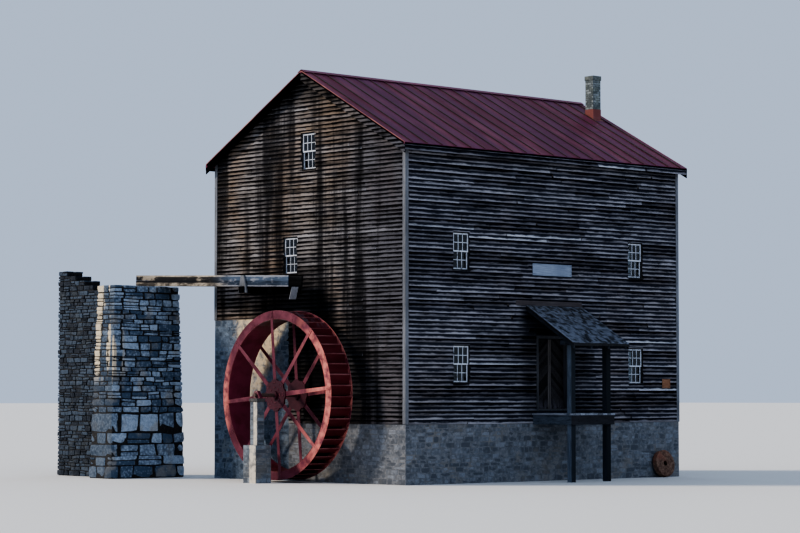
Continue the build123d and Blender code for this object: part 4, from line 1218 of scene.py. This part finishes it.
deck_low, deck_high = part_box("deck_planks")
shake_fall, shake_reach = 1.21, 2.05
shake_pitch = atan2(shake_fall, shake_reach)
shake_run = shake_reach / cos(shake_pitch)
shake_exposure = 0.112
shake_length = 0.34
shake_widths = (0.060, 0.150)
shake_butt = 0.015
shake_margin = 0.022
shake_kinds = 5
shake_roughness = 0.06
shake_taper = 0.3
shake_end = 0.005
shake_gap = 0.003
shake_sink = 0.002
shake_unevenness = (0.026, 0.007)
last_butt = 0.05
head_gap = 0.004
deck_plank_widths = (0.15, 0.23)
deck_plank_gap = 0.008
front_unevenness = 0.016
deck_unevenness = 0.004
post_clear = 0.006
least_plank = 0.03
post_ease = 0.010
rafter_ease = 0.006
cover_size = (0.024, 0.150)
cover_reach = 0.45
cover_ease = 0.003


def split_shake(seed):
    """A shake one unit each way: thick at the butt, thin at the head, riven and uneven."""
    shake = unit_block(shake_roughness)
    edit(shake, lambda: bpy.ops.transform.vertex_random(offset=shake_roughness, seed=seed))
    for vertex in shake.data.vertices:
        if vertex.co.x < 0:
            vertex.co.z = -0.5 + (vertex.co.z + 0.5) * shake_taper
    return shake


shake_face = on_slope(mill_high.x, (lean_to_low.y + lean_to_high.y) / 2, lean_to_high.z, 0,
                      shake_pitch)
shake_half = (lean_to_high.y - lean_to_low.y) / 2 - shake_end
shakes = []
butt = shake_run - shake_margin
while butt > last_butt:
    for start, end in steps_between(-shake_half, shake_half, *shake_widths):
        foot = butt - random.uniform(0, shake_unevenness[0])
        head = max(foot - shake_length, head_gap)
        shakes.append(slab_place(shake_face, (head, start + shake_gap), (foot, end - shake_gap),
                                 -shake_sink, shake_butt + random.uniform(0, shake_unevenness[1])))
    butt -= shake_exposure
shake_finish = wood_finish("split_shakes", (0.005, 0.007, 0.012), (0.175, 0.2, 0.252), (5, 70, 5),
                           0.004, None)
place, across, inward, up = parts_of(shake_finish)
# Shakes along the verge and the eave are painted pale blue, as lit edges.
lit_shake_edge = maths("MAXIMUM", band(inward, lean_to_low.y + 0.075, lean_to_low.y + 0.055),
                   band(up, lean_to_low.z + 0.115, lean_to_low.z + 0.085))
washed(shake_finish, lit_shake_edge * band(mottle(place, 9, 4, 0.65), 0.36, 0.54, 0.15, 0.8),
       (0.23, 0.262, 0.33))
washed(shake_finish, band(up, lean_to_high.z - 0.75, lean_to_high.z - 0.2)
       * band(mottle(place, 16, 5, 0.7), 0.46, 0.62, 0, 0.45), (0.115, 0.1, 0.085))
finished(laid([split_shake(seed) for seed in range(shake_kinds)], shakes),
         "roof_shakes", "mill", "shakes", shake_finish)
coat(dark_wood, "porch_roof")

cover_finish = wood_finish("over_roof_board", (0.032, 0.027, 0.031), (0.14, 0.125, 0.13),
                           along_any_wall, 0.003)
cover = block((mill_high.x, lean_to_low.y - cover_reach, lean_to_high.z + shake_sink),
              (mill_high.x + cover_size[0], lean_to_high.y, lean_to_high.z + cover_size[1]),
              cover_ease)
finished(cover, "over_roof_board", "mill", "clapboard", cover_finish)

frame_finish = wood_finish("deck_box_beams", (0.01, 0.016, 0.027), (0.11, 0.138, 0.18), (2, 2, 14),
                           0.004, 0.5)
place, across, inward, up = parts_of(frame_finish)
# Faces towards +X are painted darker, as shade.
washed(frame_finish, band(facing(place, "X"), 0.5, 0.8, 0, 0.85), (0.014, 0.012, 0.014))
beam_finish = wood_finish("deck_beams", (0.006, 0.009, 0.015), (0.070, 0.084, 0.108), (2, 2, 45), 0.004)
deck_finish = wood_finish("deck_planks", (0.08, 0.088, 0.105), (0.29, 0.315, 0.375), (2, 45, 45),
                          0.004, None)
# The near post is painted pale as lit and the far post dark as shaded, and each face towards +X is
# painted darker as shade.
for post, pale_lit_near_shaded_far in (("porch_post_near", (0.210, 0.270, 0.355)),
                     ("porch_post_far", (0.034, 0.046, 0.062))):
    post_finish = wood_finish(f"{post}_timber", (0.008, 0.012, 0.020), pale_lit_near_shaded_far, upright, 0.004, 0.5)
    place, across, inward, up = parts_of(post_finish)
    washed(post_finish, band(facing(place, "X"), 0.5, 0.8, 0, 0.9), (0.007, 0.01, 0.014))
    worked_copy(f"{post}_worn", "mill", "post_wood", post_finish, [post], post_ease)
worked_copy("roof_plate_worn", "mill", "dark_frame", beam_finish, ["porch_plate"], post_ease)
worked_copy("roof_rafters_worn", "mill", "dark_frame", beam_finish, ["porch_rafters"], rafter_ease)
worked_copy("deck_beams_worn", "mill", "dark_frame", frame_finish, ["deck_frame"], post_ease)

posts = [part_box(post) for post in ("porch_post_near", "porch_post_far")]
planks = []
for start, end in steps_between(deck_low.y, deck_high.y, *deck_plank_widths):
    front = deck_high.x - random.uniform(0, front_unevenness)
    crossed = [post for post in posts if post[0].y < end and post[1].y > start]
    pieces = [(deck_low.x, front)]
    if crossed:
        post_low, post_high = crossed[0]
        pieces = [(deck_low.x, post_low.x - post_clear), (post_high.x + post_clear, front)]
    for inner, outer in pieces:
        if outer - inner > least_plank:
            planks.append(slab_place(Matrix(), (inner, start + deck_plank_gap / 2),
                                     (outer, end - deck_plank_gap / 2), deck_low.z,
                                     deck_high.z - random.uniform(0, deck_unevenness)))
finished(laid([unit_block(0.03)], planks), "deck_boards",
         "mill", "deck_wood", deck_finish, "deck_planks")

# Boards on the long wall. A bare name board of two planks, and a small brown notice board
# of one, each in a thin edge moulding and hung on screws through its corners.

board_edge = 0.022
board_ease = 0.003
moulding_lift = 0.010
sign_plank = 0.003
screw_size = (0.011, 0.005, 8)
screw_inset = 0.055


def bolt(radius, height, sides):
    """A bolt head that stands on its foot, with an eased top."""
    bpy.ops.object.select_all(action="DESELECT")
    bpy.ops.mesh.primitive_cylinder_add(vertices=sides, radius=radius, depth=height,
                                        location=(0, 0, height / 2))
    bpy.ops.object.transform_apply(location=True, rotation=True, scale=True)
    head = bpy.context.object
    edit(head, lambda: bpy.ops.mesh.bevel(offset=height / 4, segments=1, affect="EDGES"))
    return head


sign_finish = wood_finish("bare_sign_board", (0.12, 0.15, 0.21), (0.38, 0.44, 0.54), (2, 2, 60), 0.003,
                          0.5)
notice_finish = wood_finish("brown_notice_board", (0.12, 0.055, 0.03), (0.42, 0.215, 0.125),
                            (2, 2, 60), 0.002, 0.5)
screws = []
for (low, high), name, finish, plank_count in zip(
    split_box("wall_signs"), ("name_board", "notice_board"), (sign_finish, notice_finish), (2, 1)
):
    left, right, bottom, top = seen_on(porch_side, (low, high))
    outer = high.x - mill_high.x
    front = -outer - moulding_lift
    near, far, foot, head = left + board_edge, right - board_edge, bottom + board_edge, top - board_edge
    parts = [block((x_low, front, z_low), (x_high, 0, z_high), board_ease)
             for x_low, x_high, z_low, z_high in ((left, right, bottom, foot), (left, right, head, top),
                                                  (left, near, foot, head), (far, right, foot, head))]
    height = (head - foot) / plank_count
    for number in range(plank_count):
        level = foot + number * height
        parts.append(block((near, -outer - sign_plank, level + board_ease / 2),
                           (far, -outer + sign_plank, level + height - board_ease / 2), board_ease))
    board = joined(parts)
    board.data.transform(porch_side)
    finished(board, name, "mill", "sign_wood", finish)
    for x in (left + screw_inset, right - screw_inset):
        for z in (bottom + screw_inset, top - screw_inset):
            screws.append(porch_side @ at(x, -outer - sign_plank, z) @ turned(pi / 2, "X"))
coat(sign_finish, "wall_signs")
dark_iron = metal_finish("dark_iron", (0.030, 0.026, 0.025), (0.050, 0.038, 0.032),
                         (0.075, 0.035, 0.020), (4, 4, 4), 0.8, 0.001)
finished(laid([bolt(*screw_size)], screws), "sign_screws", "mill", "sign_wood", dark_iron)

# Water wheel. Two rims of eight curved steel plates stand on eight flat arms a side, and
# between them lie a drum of sheet and forty-eight buckets. It is bolted together and
# painted crimson, stained near the crown by falling water, and pale at its edges, partly
# rubbed and partly painted highlight. One side of the rims and the drum's inside carry
# patches of painted sunlight.

wheel_front, wheel_rear = -1.500, -0.650
wheel_middle = 2.665
wheel_reach = 2.600
rim_depth = 0.260
arm_plate = 0.016
hub_front, hub_rear = -1.5363, -0.6137
splice = (rim_depth - 0.05, 0.13, 0.008)
splice_bolts = (0.07, 0.04)
arm_bolt_depths = (0.08, 0.19)
hub_bolts = ((0.385, 0.040), (0.235, 0.024))
rim_bolt_inset = 0.025
joint_clear = 0.03
lip_gap = 0.030
rim_bolt_size = (0.013, 0.009, 8)
arm_bolt_size = (0.021, 0.014, 6)
plate_ease = 0.002
arm_angles = [radians(5 + 45 * number) for number in range(8)]
joint_angles = [angle + radians(22.5) for angle in arm_angles]
bucket_angles = [radians(7.5 * number) for number in range(48)]

crimson = (0.082, 0.009, 0.026)
crimson_faded = (0.185, 0.046, 0.072)
wheel_rust = (0.034, 0.008, 0.016)
pink_edge_highlight = (0.480, 0.200, 0.200)
sunlit_pink = (0.660, 0.230, 0.190)
lime_stain = (0.150, 0.135, 0.160)
lip_bar = (0.010, 0.036)
lip_radius = 2.578
lip_sweep = radians(6.5)

# Its pale edges are partly rubbed paint and partly a painted highlight.
wheel_paint = metal_finish("crimson_paint", crimson, crimson_faded, wheel_rust, (2, 2, 2), 0.65, 0.002,
                           pink_edge_highlight)
place, across, inward, up = parts_of(wheel_paint)
# Patches on one side of the rims are painted pale pink, as sunlight.
sun_side = band(across, 0.5, 2.3, 0, 0.85) + band(across, -2.15, -2.5, 0, 0.75)
washed(wheel_paint, sun_side * band(mottle(place, 2.6, 4, 0.6), 0.34, 0.6), sunlit_pink)
hub_paint = metal_finish("shaded_hubs", (0.042, 0.005, 0.016), (0.078, 0.014, 0.030),
                         (0.020, 0.005, 0.009), (2, 2, 2), 0.65, 0.002, (0.200, 0.060, 0.070))
drum_paint = metal_finish("crimson_drum", (0.070, 0.006, 0.010), (0.125, 0.018, 0.024),
                          (0.028, 0.012, 0.014), (2, 0.5, 2), 0.9, 0.003, (0.30, 0.085, 0.075))
place, across, inward, up = parts_of(drum_paint)
lime_and_sun_mask = band(mottle(place, (4, 12, 4), 5, 0.65), 0.46, 0.6, 0, 0.85)
washed(drum_paint, band(up, 4.55, 5.15) * lime_and_sun_mask, lime_stain)
# The drum's inside on the left is painted lighter, as sunlight.
lit_drum_inside = band(facing(place, "X"), 0.1, 0.5) * band(across, -0.7, -1.3)
washed(drum_paint, lit_drum_inside * band(mottle(place, 2, 4, 0.6), 0.3, 0.6, 0.5, 1), (0.23, 0.04, 0.07))
# The bucket lips are pale pink, partly worn paint and partly a painted highlight on each bucket's edge.
lit_lip_paint = metal_finish("worn_lit_lips", (0.150, 0.030, 0.036), (0.330, 0.130, 0.130),
                         (0.050, 0.020, 0.020), (2, 1, 2), 0.9, 0.001, (0.560, 0.300, 0.280))
axle_finish = metal_finish("turned_axle", (0.075, 0.045, 0.040), (0.110, 0.075, 0.065),
                           (0.050, 0.025, 0.018), (4, 1, 4), 0.7, 0.001)


def on_wheel(radius, angle, y, front):
    """A frame on a side of the wheel, turned with it, that looks out to the front or rear."""
    place = at(0, y, wheel_middle) @ turned(-angle, "Y") @ at(radius, 0, 0)
    return place @ turned(pi / 2 if front else -pi / 2, "X")


for name, nodes in (("wheel_rims", ["shroud_front", "shroud_rear"]),
                    ("wheel_arm_bars", ["wheel_arms_front", "wheel_arms_rear"])):
    worked_copy(name, "wheel", "wheel_steel", wheel_paint, nodes, plate_ease)
coat(hub_paint, "wheel_hubs")
coat(drum_paint, "wheel_sole", "wheel_buckets")
lips = [
    at(0, (wheel_front + wheel_rear) / 2, wheel_middle)
    @ turned(-angle - lip_sweep, "Y") @ at(lip_radius, 0, 0)
    @ sized(lip_bar[0], wheel_rear - wheel_front - lip_gap, lip_bar[1])
    for angle in bucket_angles
]
finished(laid([unit_block(0.08)], lips), "bucket_lips", "wheel", "wheel_steel", lit_lip_paint)
coat(axle_finish, "wheel_axle")

splices, rim_bolts, big_bolts = [], [], []
for front, rim_face, arm_face, hub_face in (
    (True, wheel_front, wheel_front - arm_plate, hub_front),
    (False, wheel_rear, wheel_rear + arm_plate, hub_rear),
):
    for angle in joint_angles:
        middle = on_wheel(wheel_reach - rim_depth / 2, angle, rim_face, front)
        splices.append(middle @ sized(*splice) @ at(0, 0, 0.5))
        for along in (-splice_bolts[0], splice_bolts[0]):
            for across in (-splice_bolts[1], splice_bolts[1]):
                rim_bolts.append(middle @ at(along, across, splice[2]))
    for angle in arm_angles:
        for depth in arm_bolt_depths:
            big_bolts.append(on_wheel(wheel_reach - depth, angle, arm_face, front))
        for way in (-1, 1):
            for radius, across in hub_bolts:
                big_bolts.append(on_wheel(radius, angle, hub_face, front) @ at(0, way * across, 0))
    for angle in bucket_angles:
        gaps = [abs((angle - other + pi) % (2 * pi) - pi) for other in arm_angles + joint_angles]
        for radius in (wheel_reach - rim_depth + rim_bolt_inset, wheel_reach - rim_bolt_inset):
            if min(gaps) > joint_clear:
                rim_bolts.append(on_wheel(radius, angle, rim_face, front))
finished(laid([unit_block(0.04)], splices), "rim_splice_plates",
         "wheel", "wheel_steel", wheel_paint)
finished(laid([bolt(*rim_bolt_size)], rim_bolts), "rim_bolts", "wheel", "wheel_steel", wheel_paint)
finished(laid([bolt(*arm_bolt_size)], big_bolts), "arm_bolts", "wheel", "wheel_steel", wheel_paint)

# Bearings. The axle turns in a cast pillow block on a masonry pedestal with a concrete cap,
# and in a bossed plate on the stone wall. The castings are painted like the wheel.

block_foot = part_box("outboard_bearing")[0].z
pedestal_low, pedestal_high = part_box("bearing_pedestal")
footing_top = 1.150
pedestal_half = (0.165, 0.140)
footing_half = 0.300
foot_bolt = (0.170, 0.035)
plate_bolt = (0.165, 0.036)
anchor_size = (0.022, 0.016, 6)
pedestal_kinds = (4, 0, 0.13, 0.06)
casting_ease = 0.004
cap_ease = 0.010
pedestal_y = (pedestal_low.y + pedestal_high.y) / 2

worked_copy("bearing_castings", "mill", "wheel_steel", wheel_paint,
            ["outboard_bearing", "wall_bearing"], casting_ease)
cap_finish = stone_finish("dark_concrete", (0.055, 0.055, 0.056), (0.15, 0.15, 0.148),
                          (0.12, 0.11, 0.09), 4, 0.003, 0.4)
worked_copy("pedestal_cap_eased", "mill", "concrete_cap", cap_finish, ["pedestal_cap"], cap_ease)
anchor_bolts = [at(way * foot_bolt[0], pedestal_y, block_foot + foot_bolt[1]) for way in (-1, 1)]
anchor_bolts += [
    at(x * plate_bolt[0], mill_low.y - plate_bolt[1], wheel_middle + z * plate_bolt[0])
    @ turned(pi / 2, "X")
    for x in (-1, 1) for z in (-1, 1)
]
finished(laid([bolt(*anchor_size)], anchor_bolts), "anchor_bolts", "mill", "wheel_steel", dark_iron)
pedestal_stones = []
for x, y, turn in four_sides:
    foot = wall_face(x * footing_half, pedestal_y + y * footing_half, turn)
    pedestal_stones += rubble_face(foot, -footing_half, footing_half, 0, footing_top)
    half = pedestal_half[1] if x else pedestal_half[0]
    stem = wall_face(x * pedestal_half[0], pedestal_y + y * pedestal_half[1], turn)
    pedestal_stones += rubble_face(stem, -half, half, footing_top, pedestal_high.z)
sunlit_pedestal_finish = stone_finish("sunlit_pedestal_stone", (0.070, 0.086, 0.108), (0.225, 0.262, 0.305),
                            (0.205, 0.192, 0.168), 1.1, 0.014)
sunlit_pedestal_mortar = stone_finish("sunlit_pedestal_mortar", (0.070, 0.086, 0.108), (0.190, 0.220, 0.255),
                            (0.200, 0.186, 0.158), 1.3, 0.012, 0.6)
# The right half of the pedestal's face towards -Y is painted cream, as sunlight.
for material in (sunlit_pedestal_finish, sunlit_pedestal_mortar):
    place, across, inward, up = parts_of(material)
    lime_and_sun_mask = band(facing(place, "Y"), -0.3, -0.7) * band(across, -0.03, 0.03)
    washed(material, lime_and_sun_mask * band(mottle(place, 4, 5, 0.65), 0.36, 0.54, 0.25, 0.92),
           (0.58, 0.53, 0.45))
coat(sunlit_pedestal_mortar, "bearing_pedestal")
finished(masonry(pedestal_stones, *pedestal_kinds), "pedestal_stones", "mill", "rubble",
         sunlit_pedestal_finish)

# Flume. An open trough of thick planks, two to a side, that falls a little towards the
# wheel. It lies on the pier and on two bearers that stand out of the gable. Its upstream
# part is painted pale as sunlit, with patches of painted shadow, the part by the wheel is
# painted blue as shade, and the end of its near side is near black.

flume_low, flume_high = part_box("flume_sides")
flume_fall = 0.290
plank = 0.050
side_height = 0.345
plank_lengths = (2.6, 4.4)
plank_gap = 0.004
plank_play = 0.004
plank_shrink = 0.003
floor_widths = (0.16, 0.17)
nail_start = 0.35
nail_spacing = 0.9
nail_edge = 0.04
nail_sink = 0.004
nail_size = (0.009, 0.005, 6)
flume_end_gap = 0.010
bearer_ease = 0.006
end_board_ease = 0.004
flume_tilt = atan2(flume_fall, flume_high.x - flume_low.x)
trough = at(flume_low.x, 0, flume_low.z + flume_fall) @ turned(flume_tilt, "Y")
flume_length = (flume_high.x - flume_low.x) / cos(flume_tilt) - flume_end_gap

flume_planks, nails = [], []
for y_low, y_high in ((flume_low.y, flume_low.y + plank), (flume_high.y - plank, flume_high.y)):
    for z_low, z_high in ((0, side_height / 2), (side_height / 2, side_height)):
        for start, end in steps_between(0, flume_length, *plank_lengths):
            give = random.uniform(0, plank_play)
            flume_planks.append(slab_place(
                trough, (start + plank_gap / 2, y_low + give),
                (end - plank_gap / 2, y_high - plank_shrink + give),
                z_low + plank_gap / 2, z_high - plank_gap / 2))
        for number in range(int(flume_length / nail_spacing)):
            for z in (z_low + nail_edge, z_high - nail_edge):
                nails.append(trough @ at(nail_start + number * nail_spacing, flume_low.y + nail_sink, z)
                             @ turned(pi / 2, "X"))
for y_low, y_high in steps_between(flume_low.y + plank, flume_high.y - plank, *floor_widths):
    for start, end in steps_between(0, flume_length, *plank_lengths):
        flume_planks.append(slab_place(trough, (start + plank_gap / 2, y_low + plank_gap / 2),
                                       (end - plank_gap / 2, y_high - plank_gap / 2), 0, plank))
plank_finish, shader, place = start_finish("flume_planks", roughness=0.82, gloss=0.10)
across, inward, up = axes_of(place)
# The upstream part is painted as sunlit and the part by the wheel as blue shade.
sunlit_upstream = band(across, -2.2, -3.6)
shaded_plank_grain = use_group(wood_grain, place, Fibre=(1.4, 60, 60), Tone=own(place, "tone"),
                     Dark=(0.010, 0.017, 0.032), Light=(0.085, 0.120, 0.180))
fall = (across - flume_low.x) * tan(flume_tilt)
rise = up - (flume_low.z + flume_fall) + fall
# On the shaded part, pale lines along the planks' edges are painted highlights, and pale patches are
# laid over it.
edges = maths("MAXIMUM", band(rise, 0.05, 0.02), band(rise, side_height - 0.05, side_height - 0.025))
patches = mottle(place, (1.8, 4, 4.5), 6, 0.7)
edges = edges * band(patches, 0.34, 0.5, 0.15, 0.85)
shaded_part = maths("MAXIMUM", band(patches, 0.52, 0.62, 0, 0.6), edges)
shaded_part = blend(shaded_part, shaded_plank_grain["Color"], (0.33, 0.345, 0.39))
sunlit_plank_grain = use_group(wood_grain, place, Fibre=(1.4, 60, 60), Tone=own(place, "tone"),
                     Dark=(0.010, 0.010, 0.012), Light=(0.480, 0.425, 0.345))
# On the sunlit part, the planks' edges are painted as lit, and dark patches are painted shadow.
lit_plank_edges = maths("MAXIMUM", band(rise, 0.125, 0.08), band(rise, side_height - 0.06, side_height - 0.04))
painted_shadow_patches = band(mottle(place, (1.3, 4, 3.2), 5, 0.66), 0.34, 0.46, 0.25, 0.96)
painted_shadow_patches = painted_shadow_patches * (1 - lit_plank_edges * 0.5)
weathered = blend(painted_shadow_patches, sunlit_plank_grain["Color"], (0.01, 0.012, 0.017))
sun_struck = lit_plank_edges * band(patches, 0.42, 0.62, 0.05, 0.75)
weathered = blend(sun_struck, weathered, (0.49, 0.435, 0.355))
planks_colour = blend(sunlit_upstream, shaded_part, weathered)
# The last stretch of the near side is painted near black.
near_black_end = (band(across, flume_high.x - 0.72, flume_high.x - 0.64, 0, 0.96)
            * band(inward, flume_low.y + 0.02, flume_low.y + 0.04))
feed(shader["Base Color"], blend(near_black_end, planks_colour, (0.0015, 0.0018, 0.0026)))
relief(shader, sunlit_plank_grain["Height"], 0.005)
finished(laid([unit_block(0.012)], flume_planks), "flume_planks",
         "mill", "flume_wood", plank_finish, "flume_floor", "flume_sides")
finished(laid([bolt(*nail_size)], nails), "flume_nails", "mill", "flume_wood", dark_iron)
# The bearers are painted near black, as shade.
shaded_bearer_wood = wood_finish("shaded_flume_bearer_wood", (0.002, 0.002, 0.003), (0.014, 0.014, 0.016), upright,
                          0.003, gloss=0)
end_wood = wood_finish("pale_end_board", (0.12, 0.125, 0.142), (0.42, 0.43, 0.47), upright, 0.003, 0.5)
worked_copy("flume_bearers_worn", "mill", "dark_frame", shaded_bearer_wood, ["flume_bearers"], bearer_ease)
worked_copy("flume_knee_worn", "mill", "dark_frame", trim_finish, ["flume_knee"], bearer_ease)
worked_copy("flume_end_board_worn", "mill", "trim_wood", end_wood, ["flume_end_board"],
            end_board_ease)

# Pier and wing wall. Limestone blocks, laid dry in rough courses: the largest low down and
# at the corners, which overlap by turns. Dark gaps stay open between them. The wing wall
# steps up away from the pier and is of smaller stone.

pier_low, pier_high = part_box("pier")
wing_low, wing_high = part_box("wing_wall")
pier_batter = 0.340
big_course = (0.26, 0.46)
big_length = (0.40, 1.05)
pier_course = (0.12, 0.25)
pier_length = (0.26, 0.80)
big_share = 0.34
block_depth = 0.36
dry_stone = {"joint": 0.020, "bed": 0.30, "proud": (-0.030, -0.002), "wave": 0.044}
big_wave = 0.080
core_inset = 0.050
pier_core_ease, wing_core_ease = 0.02, 0.01
pier_kinds = (10, 2, 0.19, 0.055)
wing_kinds = (8, 1, 0.14, 0.05)
top_gap = 0.004
top_stone = (0.100, 0.012)
top_edge = 0.30
top_joint = 0.01
top_lengths, top_widths = (0.3, 0.6), (0.3, 0.7)
wing_course = (0.09, 0.19)
wing_block = (0.16, 0.46)
wing_steps = 6
wing_first_top = 5.950
wing_rise = 0.172


def lean_back(piece, batter, low, high):
    """Draws the upper corners of a block in, like a battered wall."""
    for vertex in piece.data.vertices:
        share = (vertex.co.z - low.z) / (high.z - low.z)
        if vertex.co.y < (low.y + high.y) / 2:
            vertex.co.y += batter * share
        if vertex.co.x > (low.x + high.x) / 2:
            vertex.co.x -= batter * share


core_low, core_high = pier_low + Vector((core_inset,) * 3), pier_high - Vector((core_inset,) * 3)
pier_core = block((*core_low.xy, 0), core_high, pier_core_ease)
lean_back(pier_core, pier_batter, core_low, core_high)
core_finish = stone_finish("dark_packing", (0.01, 0.011, 0.013), (0.04, 0.04, 0.042),
                           (0.035, 0.03, 0.025), 3, 0.02, 0.3)

pier_blocks = []
levels = steps_between(0, pier_high.z * big_share, *big_course)
levels += steps_between(pier_high.z * big_share, pier_high.z - top_gap, *pier_course)
for number, level in enumerate(levels):
    share = sum(level) / 2 / pier_high.z
    lengths, wave = (big_length, big_wave) if share < big_share else (pier_length, dry_stone["wave"])
    right, front = pier_high.x - pier_batter * share, pier_low.y + pier_batter * share
    cut = block_depth if number % 2 else 0
    other = block_depth - cut
    for face, start, end in (
        (wall_face(0, front, 0), pier_low.x + cut, right - cut),
        (wall_face(right, 0, pi / 2), front + other, pier_high.y - other),
        (wall_face(0, pier_high.y, pi), -right + cut, -pier_low.x - cut),
        (wall_face(pier_low.x, 0, -pi / 2), -pier_high.y + other, -front - other),
    ):
        pier_blocks += stone_course(face, start, end, *level, lengths,
                                    **{**dry_stone, "wave": wave}, level_ends=(0, levels[-1][1]))
pier_blocks += [
    slab_place(Matrix(), (left + top_joint, near + top_joint), (right - top_joint, far - top_joint),
               core_high.z - top_stone[0], pier_high.z - top_stone[1])
    for left, right in steps_between(pier_low.x + top_edge, pier_high.x - pier_batter - top_edge,
                                     *top_lengths)
    for near, far in steps_between(pier_low.y + pier_batter + top_edge, pier_high.y - top_edge,
                                   *top_widths)
]
block_finish = stone_finish("dry_limestone", (0.054, 0.092, 0.150), (0.425, 0.530, 0.665),
                            (0.400, 0.370, 0.310), 1.5, 0.034, broken=0.6)
place, across, inward, up = parts_of(block_finish)
# Faces towards -Y are painted dark blue as shade, most of all low down, and higher up the front of the
# pier takes cream streaks of painted sunlight.
outward = band(facing(place, "Y"), -0.3, -0.7)
washed(block_finish, outward * band(up, 3.7, 2.9, 0.6, 0.74), (0.024, 0.042, 0.07))
sun_streaks = mottle(place, (3.4, 3.4, 0.3), 2, 0.5) + band(across, -6.7, -7.05, 0, 0.24)
sun_streaks = band(sun_streaks, 0.52, 0.6, 0, 0.9) * band(up, 2.9, 3.7)
washed(block_finish, sun_streaks * band(inward, -2.65, -3.0), (0.64, 0.56, 0.42))
finished(masonry(pier_blocks, *pier_kinds),
         "pier_blocks", "mill", "limestone", block_finish, "pier")
finished(pier_core, "pier_packing", "mill", "limestone", core_finish)

wing_blocks, wing_cores = [], []
wing_levels = steps_between(0, wing_first_top, *wing_course)
wing_levels += [(wing_first_top + wing_rise * number, wing_first_top + wing_rise * (number + 1))
                for number in range(wing_steps - 1)]
wing_tops = {0} | {edge for level in wing_levels[-wing_steps:] for edge in level}
step_length = (wing_high.x - wing_low.x) / wing_steps
for level in wing_levels:
    shown = max(0, round((level[1] - wing_first_top) / wing_rise))
    end = wing_high.x - shown * step_length
    for face, start, stop in ((wall_face(0, wing_low.y, 0), wing_low.x, end),
                              (wall_face(0, wing_high.y, pi), -end, -wing_low.x)):
        wing_blocks += stone_course(face, start, stop, *level, wing_block, **dry_stone,
                                    level_ends=wing_tops)
for number in range(wing_steps):
    outer = wing_high.x - number * step_length
    inset = core_inset if number == wing_steps - 1 else 0
    core_top = wing_first_top + number * wing_rise - core_inset
    wing_cores.append(block((outer - step_length + inset, wing_low.y + core_inset, 0),
                            (outer, wing_high.y - core_inset, core_top), wing_core_ease))
wing_finish = stone_finish("shaded_limestone", (0.006, 0.013, 0.026), (0.064, 0.096, 0.142),
                           (0.066, 0.080, 0.092), 2.2, 0.020)
finished(masonry(wing_blocks, *wing_kinds),
         "wing_wall_blocks", "mill", "limestone", wing_finish, "wing_wall")
finished(joined(wing_cores), "wing_wall_packing", "mill", "limestone", core_finish)

# Millstone. A worn runner stone of rusty burr, with a round eye and dressed with straight
# furrows, that leans on the foundation.

stone_low, stone_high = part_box("millstone")
stone_lean = radians(12)
stone_radius = 0.435
stone_thickness = 0.180
harp_count = 10
land_height = 0.004
land_sink = 0.002
land_half = 0.019
land_edge = 0.035
land_reaches = ((-0.055, 0.30), (0.0, 0.285), (0.055, 0.22))
runner_ease = 0.012

stone_middle = (stone_low + stone_high) / 2
stone_axis = at(*stone_middle) @ turned(-stone_lean, "Y") @ turned(pi / 2, "Y")
lands = []
for number in range(harp_count):
    harp = stone_axis @ turned(2 * pi * number / harp_count, "Z")
    for across, reach in land_reaches:
        outer, face = stone_radius - land_edge, stone_thickness / 2
        lands.append(slab_place(harp, (outer - reach, across - land_half), (outer, across + land_half),
                                face - land_sink, face + land_height))
burr_finish = stone_finish("rusty_burr", (0.07, 0.034, 0.024), (0.3, 0.19, 0.13), (0.3, 0.12, 0.08), 2,
                           0.006, 0.5)
worked_copy("millstone_worn", "mill", "mill_stone", burr_finish, ["millstone"], runner_ease)
finished(laid([unit_block(0.03)], lands), "millstone_lands", "mill", "mill_stone", burr_finish)
